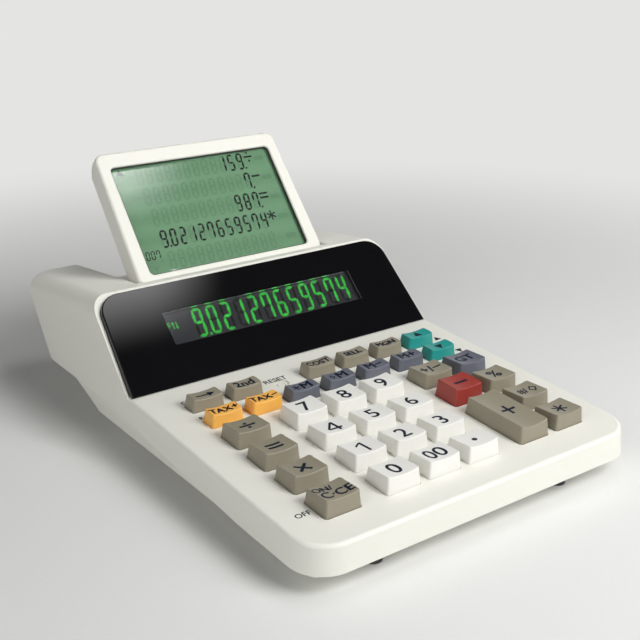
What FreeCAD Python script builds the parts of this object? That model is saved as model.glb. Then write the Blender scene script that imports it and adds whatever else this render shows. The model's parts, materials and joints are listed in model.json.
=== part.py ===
"""Desktop calculator with a raised line display on a flip-up lid.

The body frame used while modelling has X to the user's right, Y from the front edge
towards the back and Z up from the table. The finished pieces are moved so that the
origin is the centre of the footprint. All sizes are millimetres and degrees.
"""
import FreeCAD
import Part
import math
import os

from FreeCAD import Vector

# Overall size
WIDTH = 158.0
DEPTH = 237.0
WALL = 2.2
DRAFT = 3.2
PLAN_CORNER = 14.0
EDGE_ROUND = 1.6

# Deck, the sloped field that carries the keys
DECK_HEIGHT = 18.8
DECK_TILT = 3.2

# Skirt and parting line between the two cases
SKIRT_HEIGHT = 7.8
PARTING_START = 45.0
PARTING_START_HEIGHT = 8.9
PARTING_KNEE_RUN = 8.4
PARTING_KNEE_DROP = 1.6
PARTING_LEVEL_RUN = 22.0

# Rear housing
PANEL_SLOPE = 43.7
PANEL_LENGTH = 47.9
HOUSING_MARGIN = 12.17
TOP_SLOPE = 6.8
REAR_LEAN = 41.0
CREST_ROUND = 7.7
SHOULDER_ROUND = 7.7
INNER_BEVEL = 0.6
REAR_CORNER = 12.0

# Keys; the places of the rows are counted in row pitches from the front edge
KEY_FIELD_MARGIN = 23.65
FIELD_PITCHES = 5.7506
KEY_SPACE_X = 4.0
KEY_SPACE_Y = 5.07
FRONT_ROW_PLACE = 1.1605
SMALL_ROW_PLACE = 5.0681
BACK_ROW_PLACE = 5.8761
PANEL_PLACE = 6.8954
KEY_FRONT_HEIGHT = 6.7
KEY_BACK_HEIGHT = 5.25
KEY_SIDE_INSET = 0.9
KEY_FRONT_INSET = 1.15
KEY_BACK_INSET = 0.85
SMALL_KEY_SPACE_X = 4.15
SMALL_KEY_SPACE_Y = 6.8
SMALL_KEY_HEIGHT = 5.4
SMALL_KEY_INSET = 0.6
KEY_CORNER = 0.8
KEY_CLEARANCE = 0.35
KEY_TRAVEL = 2.5
KEY_WALL = 1.3
DISH_RADIUS = 30.0
FLANGE_GAP = 0.3
FLANGE_THICKNESS = 1.0
FLANGE_REACH = 1.0
PLUNGER_SIDE = 4.0
PLUNGER_LENGTH = 3.8

# Rubber mat and boards under the deck
MAT_GAP = 0.3
MAT_THICKNESS = 0.8
PAD_HEIGHT = 0.8
PAD_HALF = 2.7
BOARD_THICKNESS = 1.6
BOARD_MARGIN_X = 11.5
BOARD_MARGIN_FRONT = 6.0
BOARD_MARGIN_BACK = 7.0
BOARD_POST_RADIUS = 2.4
BOARD_SCREW_RADIUS = 1.2
BOARD_SCREW_LENGTH = 6.0
CHIP_SIZE = 14.0
CHIP_HEIGHT = 1.6

# Reset button
RESET_RADIUS = 1.6
RESET_DISH_RADIUS = 3.4
RESET_DISH_DEPTH = 0.9
RESET_TRAVEL = 0.8

# Display panel on the sloped front of the housing
PANEL_PROUD = 2.4
PANEL_SUNK = 1.0
PANEL_SIDE_MARGIN = 1.9
PANEL_NARROWING = 2.9
PANEL_CORNER = 9.5
PANEL_GAP = 0.15
WINDOW_SIDE_MARGIN = 29.4
WINDOW_HEIGHT = 15.8
WINDOW_RISE = 26.5
WINDOW_THICKNESS = 2.2
WINDOW_FLANGE = 1.8
WINDOW_FIT = 0.1
TUBE_SIDE_MARGIN = 6.4
TUBE_HEIGHT = 22.0
TUBE_THICKNESS = 5.0
TUBE_GAP = 0.3
HOLDER_WALL = 1.8

# Flip-up display lid
LID_RAISED = 50.0
LID_HEIGHT = 65.6
LID_SIDE_MARGIN = 29.95
LID_NARROWING = 1.35
LID_THICKNESS = 10.7
LID_CORNER = 4.2
LID_WALL = 1.8
LID_SPLIT = 4.6
LID_EDGE_ROUND = 1.4
LID_CHAMFER_HEIGHT = 7.6
LID_CHAMFER_DEPTH = 7.9
LID_VIEW_SIDE = 6.75
LID_VIEW_BOTTOM = 4.2
LID_VIEW_TOP = 7.4
LID_VIEW_CORNER = 2.2
LID_REVEAL = 1.8
LID_WINDOW_THICKNESS = 1.0
LID_WINDOW_LAP = 2.0
LID_GLASS_THICKNESS = 2.4
LID_BOARD_THICKNESS = 1.2
LID_FIT = 0.15
HINGE_SETBACK = 4.2814
HINGE_DEPTH = 4.0
KNUCKLE_RADIUS = 3.6
KNUCKLE_WIDTH = 4.4
PIN_RADIUS = 1.5
PIN_FIT = 0.05
PIN_GRIP = 4.0
PIN_BOSS_RADIUS = 4.2
PIN_BOSS_LENGTH = 5.0
RECESS_SIDE_GAP = 2.1
RECESS_CLEARANCE = 0.7
RECESS_LAND = 4.8
SPACER_GAP = 0.35

# Lower case
TRAY_INSET = 2.1
TRAY_SIDE_HEIGHT = 9.0
TRAY_FLOOR = 4.0
TRAY_SLANT_X = 13.0
TRAY_SLANT_Y = 14.0
TRAY_RISE = 26.0
TRAY_BAY_GAP = 3.5
TRAY_WALL = 2.0
LIP_FIT = 0.2
LIP_THICKNESS = 1.6
LIP_HEIGHT = 3.0
BASE_PLATE = 3.4

# Case screws and feet
SCREW_SIDE_MARGIN = 8.0
SCREW_FRONT_GAP = 5.0
SCREW_PANEL_GAP = 8.6
REAR_SCREW_SIDE_MARGIN = 11.0
REAR_SCREW_SETBACK = 18.5
BOSS_RADIUS = 3.2
BOSS_SEAT = 12.0
REAR_BOSS_RISE = 6.6
SCREW_RADIUS = 1.5
SCREW_FIT = 0.05
SCREW_GAP = 0.3
SCREW_BITE = 5.4
SCREW_HEAD_RADIUS = 2.8
SCREW_HEAD_HEIGHT = 1.8
SCREW_SHELF = 2.0
SCREW_TUBE_WALL = 1.5
FOOT_SIDE_MARGIN = 33.2
FOOT_FRONT = 11.0
FOOT_REAR_GAP = 8.0
FOOT_RADIUS = 4.2
FOOT_PAD_RADIUS = 5.6
FOOT_PAD_TOP = 6.9
FOOT_SOCKET = 1.0
FOOT_FIT = 0.15
FOOT_TAPER = 0.6

# Battery bay and its cover
CELL_RADIUS = 7.25
CELL_LENGTH = 50.5
CELL_NUB_RADIUS = 2.7
CELL_NUB_LENGTH = 1.2
CELL_GAP = 0.3
CONTACT_THICKNESS = 0.4
CONTACT_GAP = 0.3
BAY_WALL = 1.6
BAY_REAR_GAP = 1.55
BAY_ROOF_GAP = 2.29
COVER_THICKNESS = 2.2
COVER_FIT = 0.3
COVER_TONGUE = 1.5
COVER_TONGUE_THICKNESS = 0.8
COVER_MARGIN = 1.5

# Power jack in the rear wall
JACK_BAY_GAP = 2.0
JACK_WIDTH = 9.0
JACK_HEIGHT = 11.0
JACK_LENGTH = 13.0
JACK_BORE = 2.9
JACK_PIN = 1.0
JACK_GAP = 0.3
JACK_HOLE_RADIUS = 5.0
JACK_NOSE_RADIUS = 4.2
JACK_NOSE_LENGTH = 2.0

# Key names by row, front row first; a gap is where the tall key stands
BIG_ROWS = (
    ("key_clear", "key_0", "key_00", "key_point", None, "key_total"),
    ("key_multiply", "key_1", "key_2", "key_3", None, "key_subtotal"),
    ("key_equals", "key_4", "key_5", "key_6", "key_minus", "key_percent"),
    ("key_divide", "key_7", "key_8", "key_9", "key_sign", "key_grand_total"),
)
SMALL_ROWS = (
    ("key_tax_plus", "key_tax_minus", "key_memory_total", "key_memory_subtotal",
     "key_memory_minus", "key_memory_plus", "key_down"),
    ("key_backspace", "key_second", None, "key_cost", "key_sell", "key_margin", "key_up"),
)

# Working lengths that reach past the whole object
FAR = 400.0
NEAR_ZERO = 1e-3


class Line:
    """A straight line in the side view, walked from front to back, material on its right."""

    def __init__(self, y, z, angle):
        self.y = y
        self.z = z
        self.angle = math.radians(angle)
        self.direction = (math.cos(self.angle), math.sin(self.angle))
        self.inward = (math.sin(self.angle), -math.cos(self.angle))

    def inset(self, distance):
        """Return the same line moved into the material."""
        moved = Line(0.0, 0.0, math.degrees(self.angle))
        moved.y = self.y + distance * self.inward[0]
        moved.z = self.z + distance * self.inward[1]
        return moved

    def lowered(self, drop):
        """Return the same line moved straight down."""
        return Line(self.y, self.z - drop, math.degrees(self.angle))

    def at_y(self, y):
        """Return the height of the line at a depth."""
        return self.z + (y - self.y) * math.tan(self.angle)

    def at_z(self, z):
        """Return the depth of the line at a height."""
        return self.y + (z - self.z) / math.tan(self.angle)

    def distance(self, y, z):
        """Return how far a point lies from the line, positive inside the material."""
        return (y - self.y) * self.inward[0] + (z - self.z) * self.inward[1]

    def meet(self, other):
        """Return the crossing point of two lines."""
        ay, az = self.direction
        by, bz = other.direction
        cross = ay * bz - az * by
        run = ((other.y - self.y) * bz - (other.z - self.z) * by) / cross
        return (self.y + run * ay, self.z + run * az)


def rear_line(top):
    """Place the leaning rear wall so that its rounded crest ends at the overall depth."""
    toward_front = (-math.cos(top.angle), -math.sin(top.angle))
    angle = -(90.0 + REAR_LEAN)
    down = (math.cos(math.radians(angle)), math.sin(math.radians(angle)))
    total = (toward_front[0] + down[0], toward_front[1] + down[1])
    length = math.hypot(*total)
    half = math.acos(length / 2.0)
    apex_y = DEPTH - CREST_ROUND - CREST_ROUND / math.sin(half) * total[0] / length
    return Line(apex_y, top.at_y(apex_y), angle)


FRONT = Line(0.0, SKIRT_HEIGHT, 90.0 - DRAFT)
DECK = Line(0.0, DECK_HEIGHT, DECK_TILT)
PANEL_RUN = PANEL_LENGTH * math.cos(math.radians(PANEL_SLOPE))
PANEL_BASE = DEPTH - HOUSING_MARGIN - LID_HEIGHT - PANEL_RUN
PANEL_FACE = Line(PANEL_BASE, DECK.at_y(PANEL_BASE), PANEL_SLOPE)
SLOPE = PANEL_FACE.inset(PANEL_PROUD)
TOP = Line(PANEL_BASE + PANEL_RUN, PANEL_FACE.at_y(PANEL_BASE + PANEL_RUN), -TOP_SLOPE)
REAR = rear_line(TOP)

KEY_FIELD = WIDTH - 2.0 * KEY_FIELD_MARGIN
KEY_PITCH = KEY_FIELD / FIELD_PITCHES
KEY_WIDTH = KEY_PITCH - KEY_SPACE_X
BIG_COLUMNS = (-KEY_FIELD / 2.0,
               -1.5 * KEY_PITCH,
               -0.5 * KEY_PITCH,
               0.5 * KEY_PITCH,
               KEY_FIELD / 2.0 - KEY_PITCH,
               KEY_FIELD / 2.0)
SMALL_PITCH = KEY_FIELD / 6.0
SMALL_KEY_WIDTH = SMALL_PITCH - SMALL_KEY_SPACE_X
ROW_PITCH = PANEL_BASE / PANEL_PLACE
FRONT_ROW = FRONT_ROW_PLACE * ROW_PITCH
KEY_DEPTH = ROW_PITCH - KEY_SPACE_Y
SMALL_ROWS_AT = (SMALL_ROW_PLACE * ROW_PITCH, BACK_ROW_PLACE * ROW_PITCH)
SMALL_KEY_DEPTH = SMALL_ROWS_AT[1] - SMALL_ROWS_AT[0] - SMALL_KEY_SPACE_Y
FLANGE_TOP = WALL + FLANGE_GAP
SKIRT_BOTTOM = FLANGE_TOP + FLANGE_THICKNESS
PLUNGER_BOTTOM = FLANGE_TOP + PLUNGER_LENGTH
PAD_TOP = PLUNGER_BOTTOM + KEY_TRAVEL + MAT_GAP
MAT_TOP = PAD_TOP + PAD_HEIGHT
BOARD_TOP = MAT_TOP + MAT_THICKNESS
BOARD_BOTTOM = BOARD_TOP + BOARD_THICKNESS
RESET_PAD_HEIGHT = MAT_TOP - PLUNGER_BOTTOM - RESET_TRAVEL - MAT_GAP

PANEL_BASE_HALF = WIDTH / 2.0 - PANEL_SIDE_MARGIN
PANEL_TOP_HALF = PANEL_BASE_HALF - PANEL_NARROWING
WINDOW_WIDTH = WIDTH - 2.0 * WINDOW_SIDE_MARGIN
TUBE_WIDTH = WINDOW_WIDTH + 2.0 * TUBE_SIDE_MARGIN

LID_BASE_HALF = WIDTH / 2.0 - LID_SIDE_MARGIN
LID_TOP_HALF = LID_BASE_HALF - LID_NARROWING
LID_VIEW_HALF = LID_BASE_HALF - LID_VIEW_SIDE
LID_VIEW_HEIGHT = LID_HEIGHT - LID_VIEW_BOTTOM - LID_VIEW_TOP
RECESS_HALF = LID_BASE_HALF + RECESS_SIDE_GAP
RECESS_FLOOR = TOP.inset(LID_THICKNESS + RECESS_CLEARANCE)
RECESS_FRONT = SLOPE.meet(TOP)[0] + RECESS_LAND
HINGE_Y = RECESS_FRONT + HINGE_SETBACK
HINGE_Z = TOP.inset(HINGE_DEPTH).at_y(HINGE_Y)

# The battery bay fills the corner between the rear wall and the recess floor
BAY_HALF = CELL_LENGTH + CELL_NUB_LENGTH + 2.0 * (CONTACT_THICKNESS + CONTACT_GAP) + BAY_WALL / 2.0
BAY_DEPTH = 4.0 * CELL_RADIUS + 3.0 * CELL_GAP
BAY_RISE = COVER_THICKNESS + 2.0 * CELL_GAP + 2.0 * CELL_RADIUS + BAY_WALL + BAY_ROOF_GAP
BAY_CORNER = REAR.inset(WALL).meet(RECESS_FLOOR.inset(WALL).lowered(BAY_RISE))
PARTING_LEVEL = BAY_CORNER[1]
BAY_BACK = BAY_CORNER[0] - BAY_REAR_GAP - BAY_WALL
BAY_FRONT = BAY_BACK - BAY_DEPTH
BAY_FLOOR = PARTING_LEVEL + COVER_THICKNESS + CELL_GAP
BAY_ROOF = BAY_FLOOR + 2.0 * CELL_RADIUS + CELL_GAP
PARTING_KNEE = PANEL_BASE + PARTING_KNEE_RUN
PARTING_KNEE_HEIGHT = PARTING_LEVEL - PARTING_KNEE_DROP
PARTING_LEVEL_START = PARTING_KNEE + PARTING_LEVEL_RUN
TRAY_RISE_END = BAY_FRONT - TRAY_BAY_GAP
TRAY_BACK = TRAY_RISE_END - TRAY_RISE
SCREW_X = WIDTH / 2.0 - SCREW_SIDE_MARGIN
SCREW_ROWS = (FRONT_ROW + SCREW_FRONT_GAP, PANEL_BASE - SCREW_PANEL_GAP)
REAR_SCREW_X = WIDTH / 2.0 - REAR_SCREW_SIDE_MARGIN
REAR_SCREW_Y = BAY_FRONT + REAR_SCREW_SETBACK
REAR_BOSS_SEAT = PARTING_LEVEL + REAR_BOSS_RISE
FOOT_X = WIDTH / 2.0 - FOOT_SIDE_MARGIN
FOOT_REAR = TRAY_BACK - FOOT_REAR_GAP
JACK_X = -(BAY_HALF + BAY_WALL + JACK_BAY_GAP + JACK_WIDTH / 2.0)


def box(x0, x1, y0, y1, z0, z1):
    """Return a block between two corners."""
    return Part.makeBox(x1 - x0, y1 - y0, z1 - z0, Vector(x0, y0, z0))


def cylinder(radius, height, x, y, z, direction=(0, 0, 1)):
    """Return a round bar that starts at a point and runs along a direction."""
    return Part.makeCylinder(radius, height, Vector(x, y, z), Vector(*direction))


def octagon_bar(radius, height, x, y, z):
    """Return an eight-sided upright bar, the plain form of small round pieces that repeat."""
    angles = [math.radians(22.5 + 45.0 * index) for index in range(8)]
    points = [Vector(x + radius * math.cos(a), y + radius * math.sin(a), z) for a in angles]
    return Part.Face(polygon(points)).extrude(Vector(0, 0, height))


def polygon(points):
    """Return a closed wire through points."""
    return Part.makePolygon(list(points) + [points[0]])


def across(points, half):
    """Extrude a side-view outline of (y, z) points over both sides of the middle."""
    wire = polygon([Vector(-half, y, z) for y, z in points])
    return Part.Face(wire).extrude(Vector(2.0 * half, 0, 0))


def rounded_quad(corners, radii, z):
    """Return a wire round four (x, y) corners, each with its own radius, at a height."""
    count = len(corners)
    entries = []
    for index, corner in enumerate(corners):
        here = Vector(corner[0], corner[1], z)
        before = Vector(*corners[index - 1], z) - here
        after = Vector(*corners[(index + 1) % count], z) - here
        before.normalize()
        after.normalize()
        radius = radii[index]
        if radius < NEAR_ZERO:
            entries.append((here, None, here))
            continue
        half = math.acos(max(-1.0, min(1.0, before.dot(after)))) / 2.0
        back_off = radius / math.tan(half)
        start = here + before * back_off
        end = here + after * back_off
        bisector = before + after
        bisector.normalize()
        middle = here + bisector * (radius / math.sin(half) - radius)
        entries.append((start, middle, end))
    edges = []
    for index, (start, middle, end) in enumerate(entries):
        if middle is not None:
            edges.append(Part.Arc(start, middle, end).toShape())
        following = entries[(index + 1) % count][0]
        if (following - end).Length > NEAR_ZERO:
            edges.append(Part.makeLine(end, following))
    return Part.Wire(edges)


def rounded_rect(x0, x1, y0, y1, radius, z):
    """Return a rounded rectangle wire at a height."""
    corners = ((x0, y0), (x1, y0), (x1, y1), (x0, y1))
    return rounded_quad(corners, (radius,) * 4, z)


def cut_rect(x0, x1, y0, y1, cut, z):
    """Return a rectangle wire with its corners cut off at a height."""
    outline = ((x0 + cut, y0), (x1 - cut, y0), (x1, y0 + cut), (x1, y1 - cut),
               (x1 - cut, y1), (x0 + cut, y1), (x0, y1 - cut), (x0, y0 + cut))
    return polygon([Vector(x, y, z) for x, y in outline])


def plate(wire, thickness):
    """Return a slab that hangs down from a wire."""
    return Part.Face(wire).extrude(Vector(0, 0, -thickness))


def taper(low, high):
    """Return the solid between two wires of like form."""
    return Part.makeLoft([low, high], True, True)


def picked_edges(solid, chosen):
    """Return the edges that a test picks by their middle and end points."""
    picked = []
    for edge in solid.Edges:
        middle = edge.valueAt((edge.FirstParameter + edge.LastParameter) / 2.0)
        ends = [vertex.Point for vertex in edge.Vertexes]
        if chosen(middle, ends):
            picked.append(edge)
    return picked


def round_edges(solid, chosen, radius):
    """Round the edges of a solid that a test picks."""
    return solid.makeFillet(radius, picked_edges(solid, chosen))


def bevel_edges(solid, chosen, reach):
    """Cut the edges of a solid that a test picks off at a slant."""
    return solid.makeChamfer(reach, picked_edges(solid, chosen))


def on_deck(shape):
    """Move a shape from the deck's own flat frame to its tilted place."""
    moved = shape.copy()
    moved.rotate(Vector(0, 0, 0), Vector(1, 0, 0), DECK_TILT)
    moved.translate(Vector(0, 0, DECK_HEIGHT))
    return moved


def on_slope(shape):
    """Move a shape from the panel's own flat frame to the sloped front."""
    moved = shape.copy()
    moved.rotate(Vector(0, 0, 0), Vector(1, 0, 0), PANEL_SLOPE)
    moved.translate(Vector(0, PANEL_FACE.y, PANEL_FACE.z))
    return moved


def on_lid(shape):
    """Move a shape from the lid's upright frame to the raised lid.

    In the upright frame Z runs up the face, Y runs back into the lid and the hinge
    axis is at the bottom edge, one hinge depth behind the face.
    """
    moved = shape.copy()
    moved.translate(Vector(0, -HINGE_DEPTH, 0))
    moved.rotate(Vector(0, 0, 0), Vector(1, 0, 0), LID_RAISED - 90.0)
    moved.translate(Vector(0, HINGE_Y, HINGE_Z))
    return moved


# Upper case


def side_outline(inset):
    """Return the side view of the housing and deck, with the walls moved in."""
    front = FRONT.inset(inset)
    deck = DECK.inset(inset)
    slope = SLOPE.inset(inset)
    top = TOP.inset(inset)
    rear = REAR.inset(inset)
    low = -FAR / 8.0
    return [(front.at_z(low), low), front.meet(deck), deck.meet(slope), slope.meet(top),
            top.meet(rear), (rear.at_z(low), low)]


def between_sides(inset):
    """Return the long bar between the drafted side walls, with the walls moved in."""
    points = []
    for side, z in ((-1.0, -FAR / 8.0), (1.0, -FAR / 8.0), (1.0, FAR / 4.0), (-1.0, FAR / 4.0)):
        lean = (z - SKIRT_HEIGHT) * math.tan(math.radians(DRAFT))
        points.append(Vector(side * (WIDTH / 2.0 - inset - lean), -FAR / 8.0, z))
    return Part.Face(polygon(points)).extrude(Vector(0, FAR, 0))


def housing_body(inset):
    """Return the closed outer form of the case, moved in by a wall."""
    body = across(side_outline(inset), WIDTH).common(between_sides(inset))
    front = FRONT.inset(inset)
    rear = REAR.inset(inset)
    top = TOP.inset(inset)
    front_of_top = SLOPE.inset(inset).meet(top)[0]

    def corner_of(line):
        return lambda middle, ends: all(abs(line.distance(p.y, p.z)) < NEAR_ZERO
                                        and abs(p.x) > WIDTH / 4.0 for p in [middle] + ends)

    def top_rim(middle, ends):
        return all(abs(top.distance(p.y, p.z)) < NEAR_ZERO for p in [middle] + ends) \
            and middle.y > front_of_top + 1.0

    body = round_edges(body, corner_of(front), PLAN_CORNER - inset)
    body = round_edges(body, corner_of(rear), REAR_CORNER - inset)
    if inset > 0.0:
        return bevel_edges(body, top_rim, INNER_BEVEL * (SHOULDER_ROUND - inset))
    return round_edges(body, top_rim, SHOULDER_ROUND)


def soft_deck_edge(body):
    """Round the outer rim of the deck."""
    back = DECK.meet(SLOPE)[0]

    def deck_rim(middle, ends):
        return all(abs(DECK.distance(p.y, p.z)) < NEAR_ZERO for p in [middle] + ends) \
            and middle.y < back - 1.0

    return round_edges(body, deck_rim, EDGE_ROUND)


def parting_outline(lift):
    """Return the side view of everything above the parting line."""
    return [(-FAR / 4.0, SKIRT_HEIGHT + lift), (0.0, SKIRT_HEIGHT + lift),
            (PARTING_START, PARTING_START_HEIGHT + lift),
            (PARTING_KNEE, PARTING_KNEE_HEIGHT + lift),
            (PARTING_LEVEL_START, PARTING_LEVEL + lift),
            (FAR, PARTING_LEVEL + lift), (FAR, FAR), (-FAR / 4.0, FAR)]


def recess(grow):
    """Return the trough that the folded lid lies in, grown by a wall."""
    floor = RECESS_FLOOR.inset(grow)
    front = RECESS_FRONT - grow
    points = [(front, floor.at_y(front)), (front, FAR), (FAR, FAR), (FAR, floor.at_y(FAR))]
    return across(points, RECESS_HALF + grow)


def key_places():
    """Yield name, x, y, width and depth of each key in the deck's own frame."""
    for row, names in enumerate(BIG_ROWS):
        for column, name in enumerate(names):
            if name:
                yield name, BIG_COLUMNS[column], FRONT_ROW + row * ROW_PITCH, KEY_WIDTH, KEY_DEPTH
    yield "key_plus", BIG_COLUMNS[4], FRONT_ROW + ROW_PITCH / 2.0, KEY_WIDTH, KEY_DEPTH + ROW_PITCH
    for row, names in enumerate(SMALL_ROWS):
        y = SMALL_ROWS_AT[row]
        for column, name in enumerate(names):
            if name:
                x = column * SMALL_PITCH - KEY_FIELD / 2.0
                yield name, x, y, SMALL_KEY_WIDTH, SMALL_KEY_DEPTH


def reset_place():
    """Return where the reset button stands in the deck's own frame."""
    return (2.0 * SMALL_PITCH - KEY_FIELD / 2.0, SMALL_ROWS_AT[1])


def deck_openings():
    """Return the cutters for all key openings and the reset recess."""
    cutters = []
    for name, x, y, width, depth in key_places():
        half_x = width / 2.0 + KEY_CLEARANCE
        half_y = depth / 2.0 + KEY_CLEARANCE
        wire = cut_rect(x - half_x, x + half_x, y - half_y, y + half_y,
                        KEY_CORNER + KEY_CLEARANCE / 2.0, WALL)
        cutters.append(plate(wire, 3.0 * WALL))
    x, y = reset_place()
    cutters.append(cylinder(RESET_RADIUS + KEY_CLEARANCE, 3.0 * WALL, x, y, -2.0 * WALL))
    cutters.append(cylinder(RESET_DISH_RADIUS, WALL, x, y, -RESET_DISH_DEPTH))
    return [on_deck(cutter) for cutter in cutters]


def board_half():
    """Return half the width of the key board."""
    return WIDTH / 2.0 - BOARD_MARGIN_X - WALL


def board_span():
    """Return the front and back of the key board in the deck's own frame."""
    front = FRONT_ROW - BOARD_MARGIN_FRONT
    back = reset_place()[1] + BOARD_MARGIN_BACK
    return front, back


def board_posts():
    """Return the places of the posts that carry the key board."""
    left = (BIG_COLUMNS[0] + BIG_COLUMNS[1]) / 2.0
    right = (BIG_COLUMNS[3] + BIG_COLUMNS[4]) / 2.0
    rows = (FRONT_ROW + ROW_PITCH / 2.0, FRONT_ROW + 2.5 * ROW_PITCH)
    return [(x, y) for x in (left, right) for y in rows]


def board_post_solids():
    """Return the posts under the deck, each with a pilot hole."""
    solids = []
    for x, y in board_posts():
        post = octagon_bar(BOARD_POST_RADIUS, BOARD_TOP - WALL / 2.0, x, y, -BOARD_TOP)
        pilot = octagon_bar(BOARD_SCREW_RADIUS + SCREW_FIT, BOARD_SCREW_LENGTH, x, y, -BOARD_TOP)
        solids.append(on_deck(post.cut(pilot)))
    return solids


def screw_places():
    """Return x, y and seat height of each case screw."""
    places = [(side * SCREW_X, y, BOSS_SEAT) for side in (-1.0, 1.0) for y in SCREW_ROWS]
    places += [(side * REAR_SCREW_X, REAR_SCREW_Y, REAR_BOSS_SEAT) for side in (-1.0, 1.0)]
    return places


def case_bosses(body):
    """Return the screw bosses, trimmed to the inside of the case."""
    solids = []
    for x, y, seat in screw_places():
        boss = octagon_bar(BOSS_RADIUS, FAR / 4.0, x, y, seat)
        boss = boss.common(body)
        pilot = octagon_bar(SCREW_RADIUS + SCREW_FIT, SCREW_BITE + SCREW_GAP, x, y, seat)
        solids.append(boss.cut(pilot))
    return solids


def pin_bosses():
    """Return the hinge bosses outside and the spacer rings inside the recess walls."""
    solids = []
    for side in (-1.0, 1.0):
        start = side * (RECESS_HALF + WALL / 2.0)
        solids.append(cylinder(PIN_BOSS_RADIUS, PIN_BOSS_LENGTH, start, HINGE_Y, HINGE_Z, (side, 0, 0)))
        spacer = RECESS_SIDE_GAP - SPACER_GAP + WALL / 2.0
        solids.append(cylinder(PIN_BOSS_RADIUS - WALL / 2.0, spacer, start, HINGE_Y, HINGE_Z,
                               (-side, 0, 0)))
    return solids


def pin_holes():
    """Return the cutters for the hinge pins in the case."""
    length = PIN_BOSS_LENGTH + RECESS_SIDE_GAP + WALL
    return [cylinder(PIN_RADIUS, length, side * LID_BASE_HALF, HINGE_Y, HINGE_Z, (side, 0, 0))
            for side in (-1.0, 1.0)]


def panel_outline(grow, rise, z):
    """Return the panel's outline in its own frame: straight at the deck, rounded above."""
    low = -3.0 * WALL
    high = PANEL_LENGTH + rise
    lean = (PANEL_BASE_HALF - PANEL_TOP_HALF) / PANEL_LENGTH
    low_half = PANEL_BASE_HALF + grow - lean * low
    high_half = PANEL_BASE_HALF + grow - lean * high
    corners = ((-low_half, low), (low_half, low), (high_half, high), (-high_half, high))
    corner = PANEL_CORNER + grow
    return rounded_quad(corners, (0.0, 0.0, corner, corner), z)


def window_rect(grow, z):
    """Return the outline of the window in the panel's own frame."""
    half_x = WINDOW_WIDTH / 2.0 + grow
    half_y = WINDOW_HEIGHT / 2.0 + grow
    return rounded_rect(-half_x, half_x, WINDOW_RISE - half_y, WINDOW_RISE + half_y, 0.8 + grow / 4.0, z)


def tube_rect(grow, z):
    """Return the outline of the display tube in the panel's own frame."""
    half_x = TUBE_WIDTH / 2.0 + grow
    half_y = TUBE_HEIGHT / 2.0 + grow
    return rounded_rect(-half_x, half_x, WINDOW_RISE - half_y, WINDOW_RISE + half_y, 1.0 + grow / 4.0, z)


def panel_cutters():
    """Return the pocket for the panel and the hole that the tube reaches through."""
    pocket = plate(panel_outline(PANEL_GAP, PANEL_GAP, PANEL_PROUD), 2.0 * PANEL_PROUD + PANEL_SUNK)
    above_deck = on_deck(box(-WIDTH, WIDTH, 0.0, FAR, 0.0, FAR))
    hole = plate(tube_rect(TUBE_GAP, PANEL_PROUD), 4.0 * PANEL_PROUD)
    return [on_slope(pocket).common(above_deck), on_slope(hole)]


def housing_ribs(inner):
    """Return the stiffening ribs under the recess, in front of the battery bay."""
    ribs = []
    floor = RECESS_FLOOR.inset(WALL / 2.0)
    front = RECESS_FRONT - WALL / 2.0
    back = BAY_FRONT - BAY_WALL - 1.0
    outline = [(front, PARTING_LEVEL + BASE_PLATE), (front, floor.at_y(front)), (back, floor.at_y(back)),
               (back, floor.at_y(back) - WALL)]
    for x in (-RECESS_HALF / 2.0, 0.0, RECESS_HALF / 2.0):
        points = [Vector(x - WALL / 4.0, y, z) for y, z in outline]
        ribs.append(Part.Face(polygon(points)).extrude(Vector(WALL / 2.0, 0, 0)).common(inner))
    return ribs


def jack_axis_height():
    """Return the height of the power jack's axis, with the jack on the base plate."""
    return PARTING_LEVEL + BASE_PLATE + JACK_HEIGHT / 2.0


def jack_face():
    """Return the depth of the jack's back face, just inside the rear wall."""
    return REAR.inset(WALL).at_z(PARTING_LEVEL + BASE_PLATE) - JACK_GAP


def upper_case():
    """Return the white upper case."""
    outer = soft_deck_edge(housing_body(0.0))
    inner = housing_body(WALL)
    hollow = inner.cut(recess(WALL))
    shell = outer.cut([recess(0.0), hollow])
    bosses = case_bosses(inner) + board_post_solids() + pin_bosses() + housing_ribs(hollow)
    shell = shell.multiFuse(bosses)
    shell = shell.common(across(parting_outline(0.0), WIDTH))
    jack_hole = cylinder(JACK_HOLE_RADIUS, FAR / 8.0, JACK_X, jack_face(), jack_axis_height(), (0, 1, 0))
    cutters = deck_openings() + panel_cutters() + pin_holes() + [jack_hole, cover_notch()]
    return shell.cut(cutters)


# Keys


def dish(width, front_height, back_height, front_y, back_y):
    """Return the round bar that hollows a key top along its depth."""
    half = width / 2.0
    sag = DISH_RADIUS - math.sqrt(DISH_RADIUS ** 2 - half ** 2)
    run = Vector(0, back_y - front_y, back_height - front_height)
    start = Vector(0, front_y, front_height - sag + DISH_RADIUS) - run
    return Part.makeCylinder(DISH_RADIUS, 3.0 * run.Length, start, run)


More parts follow.
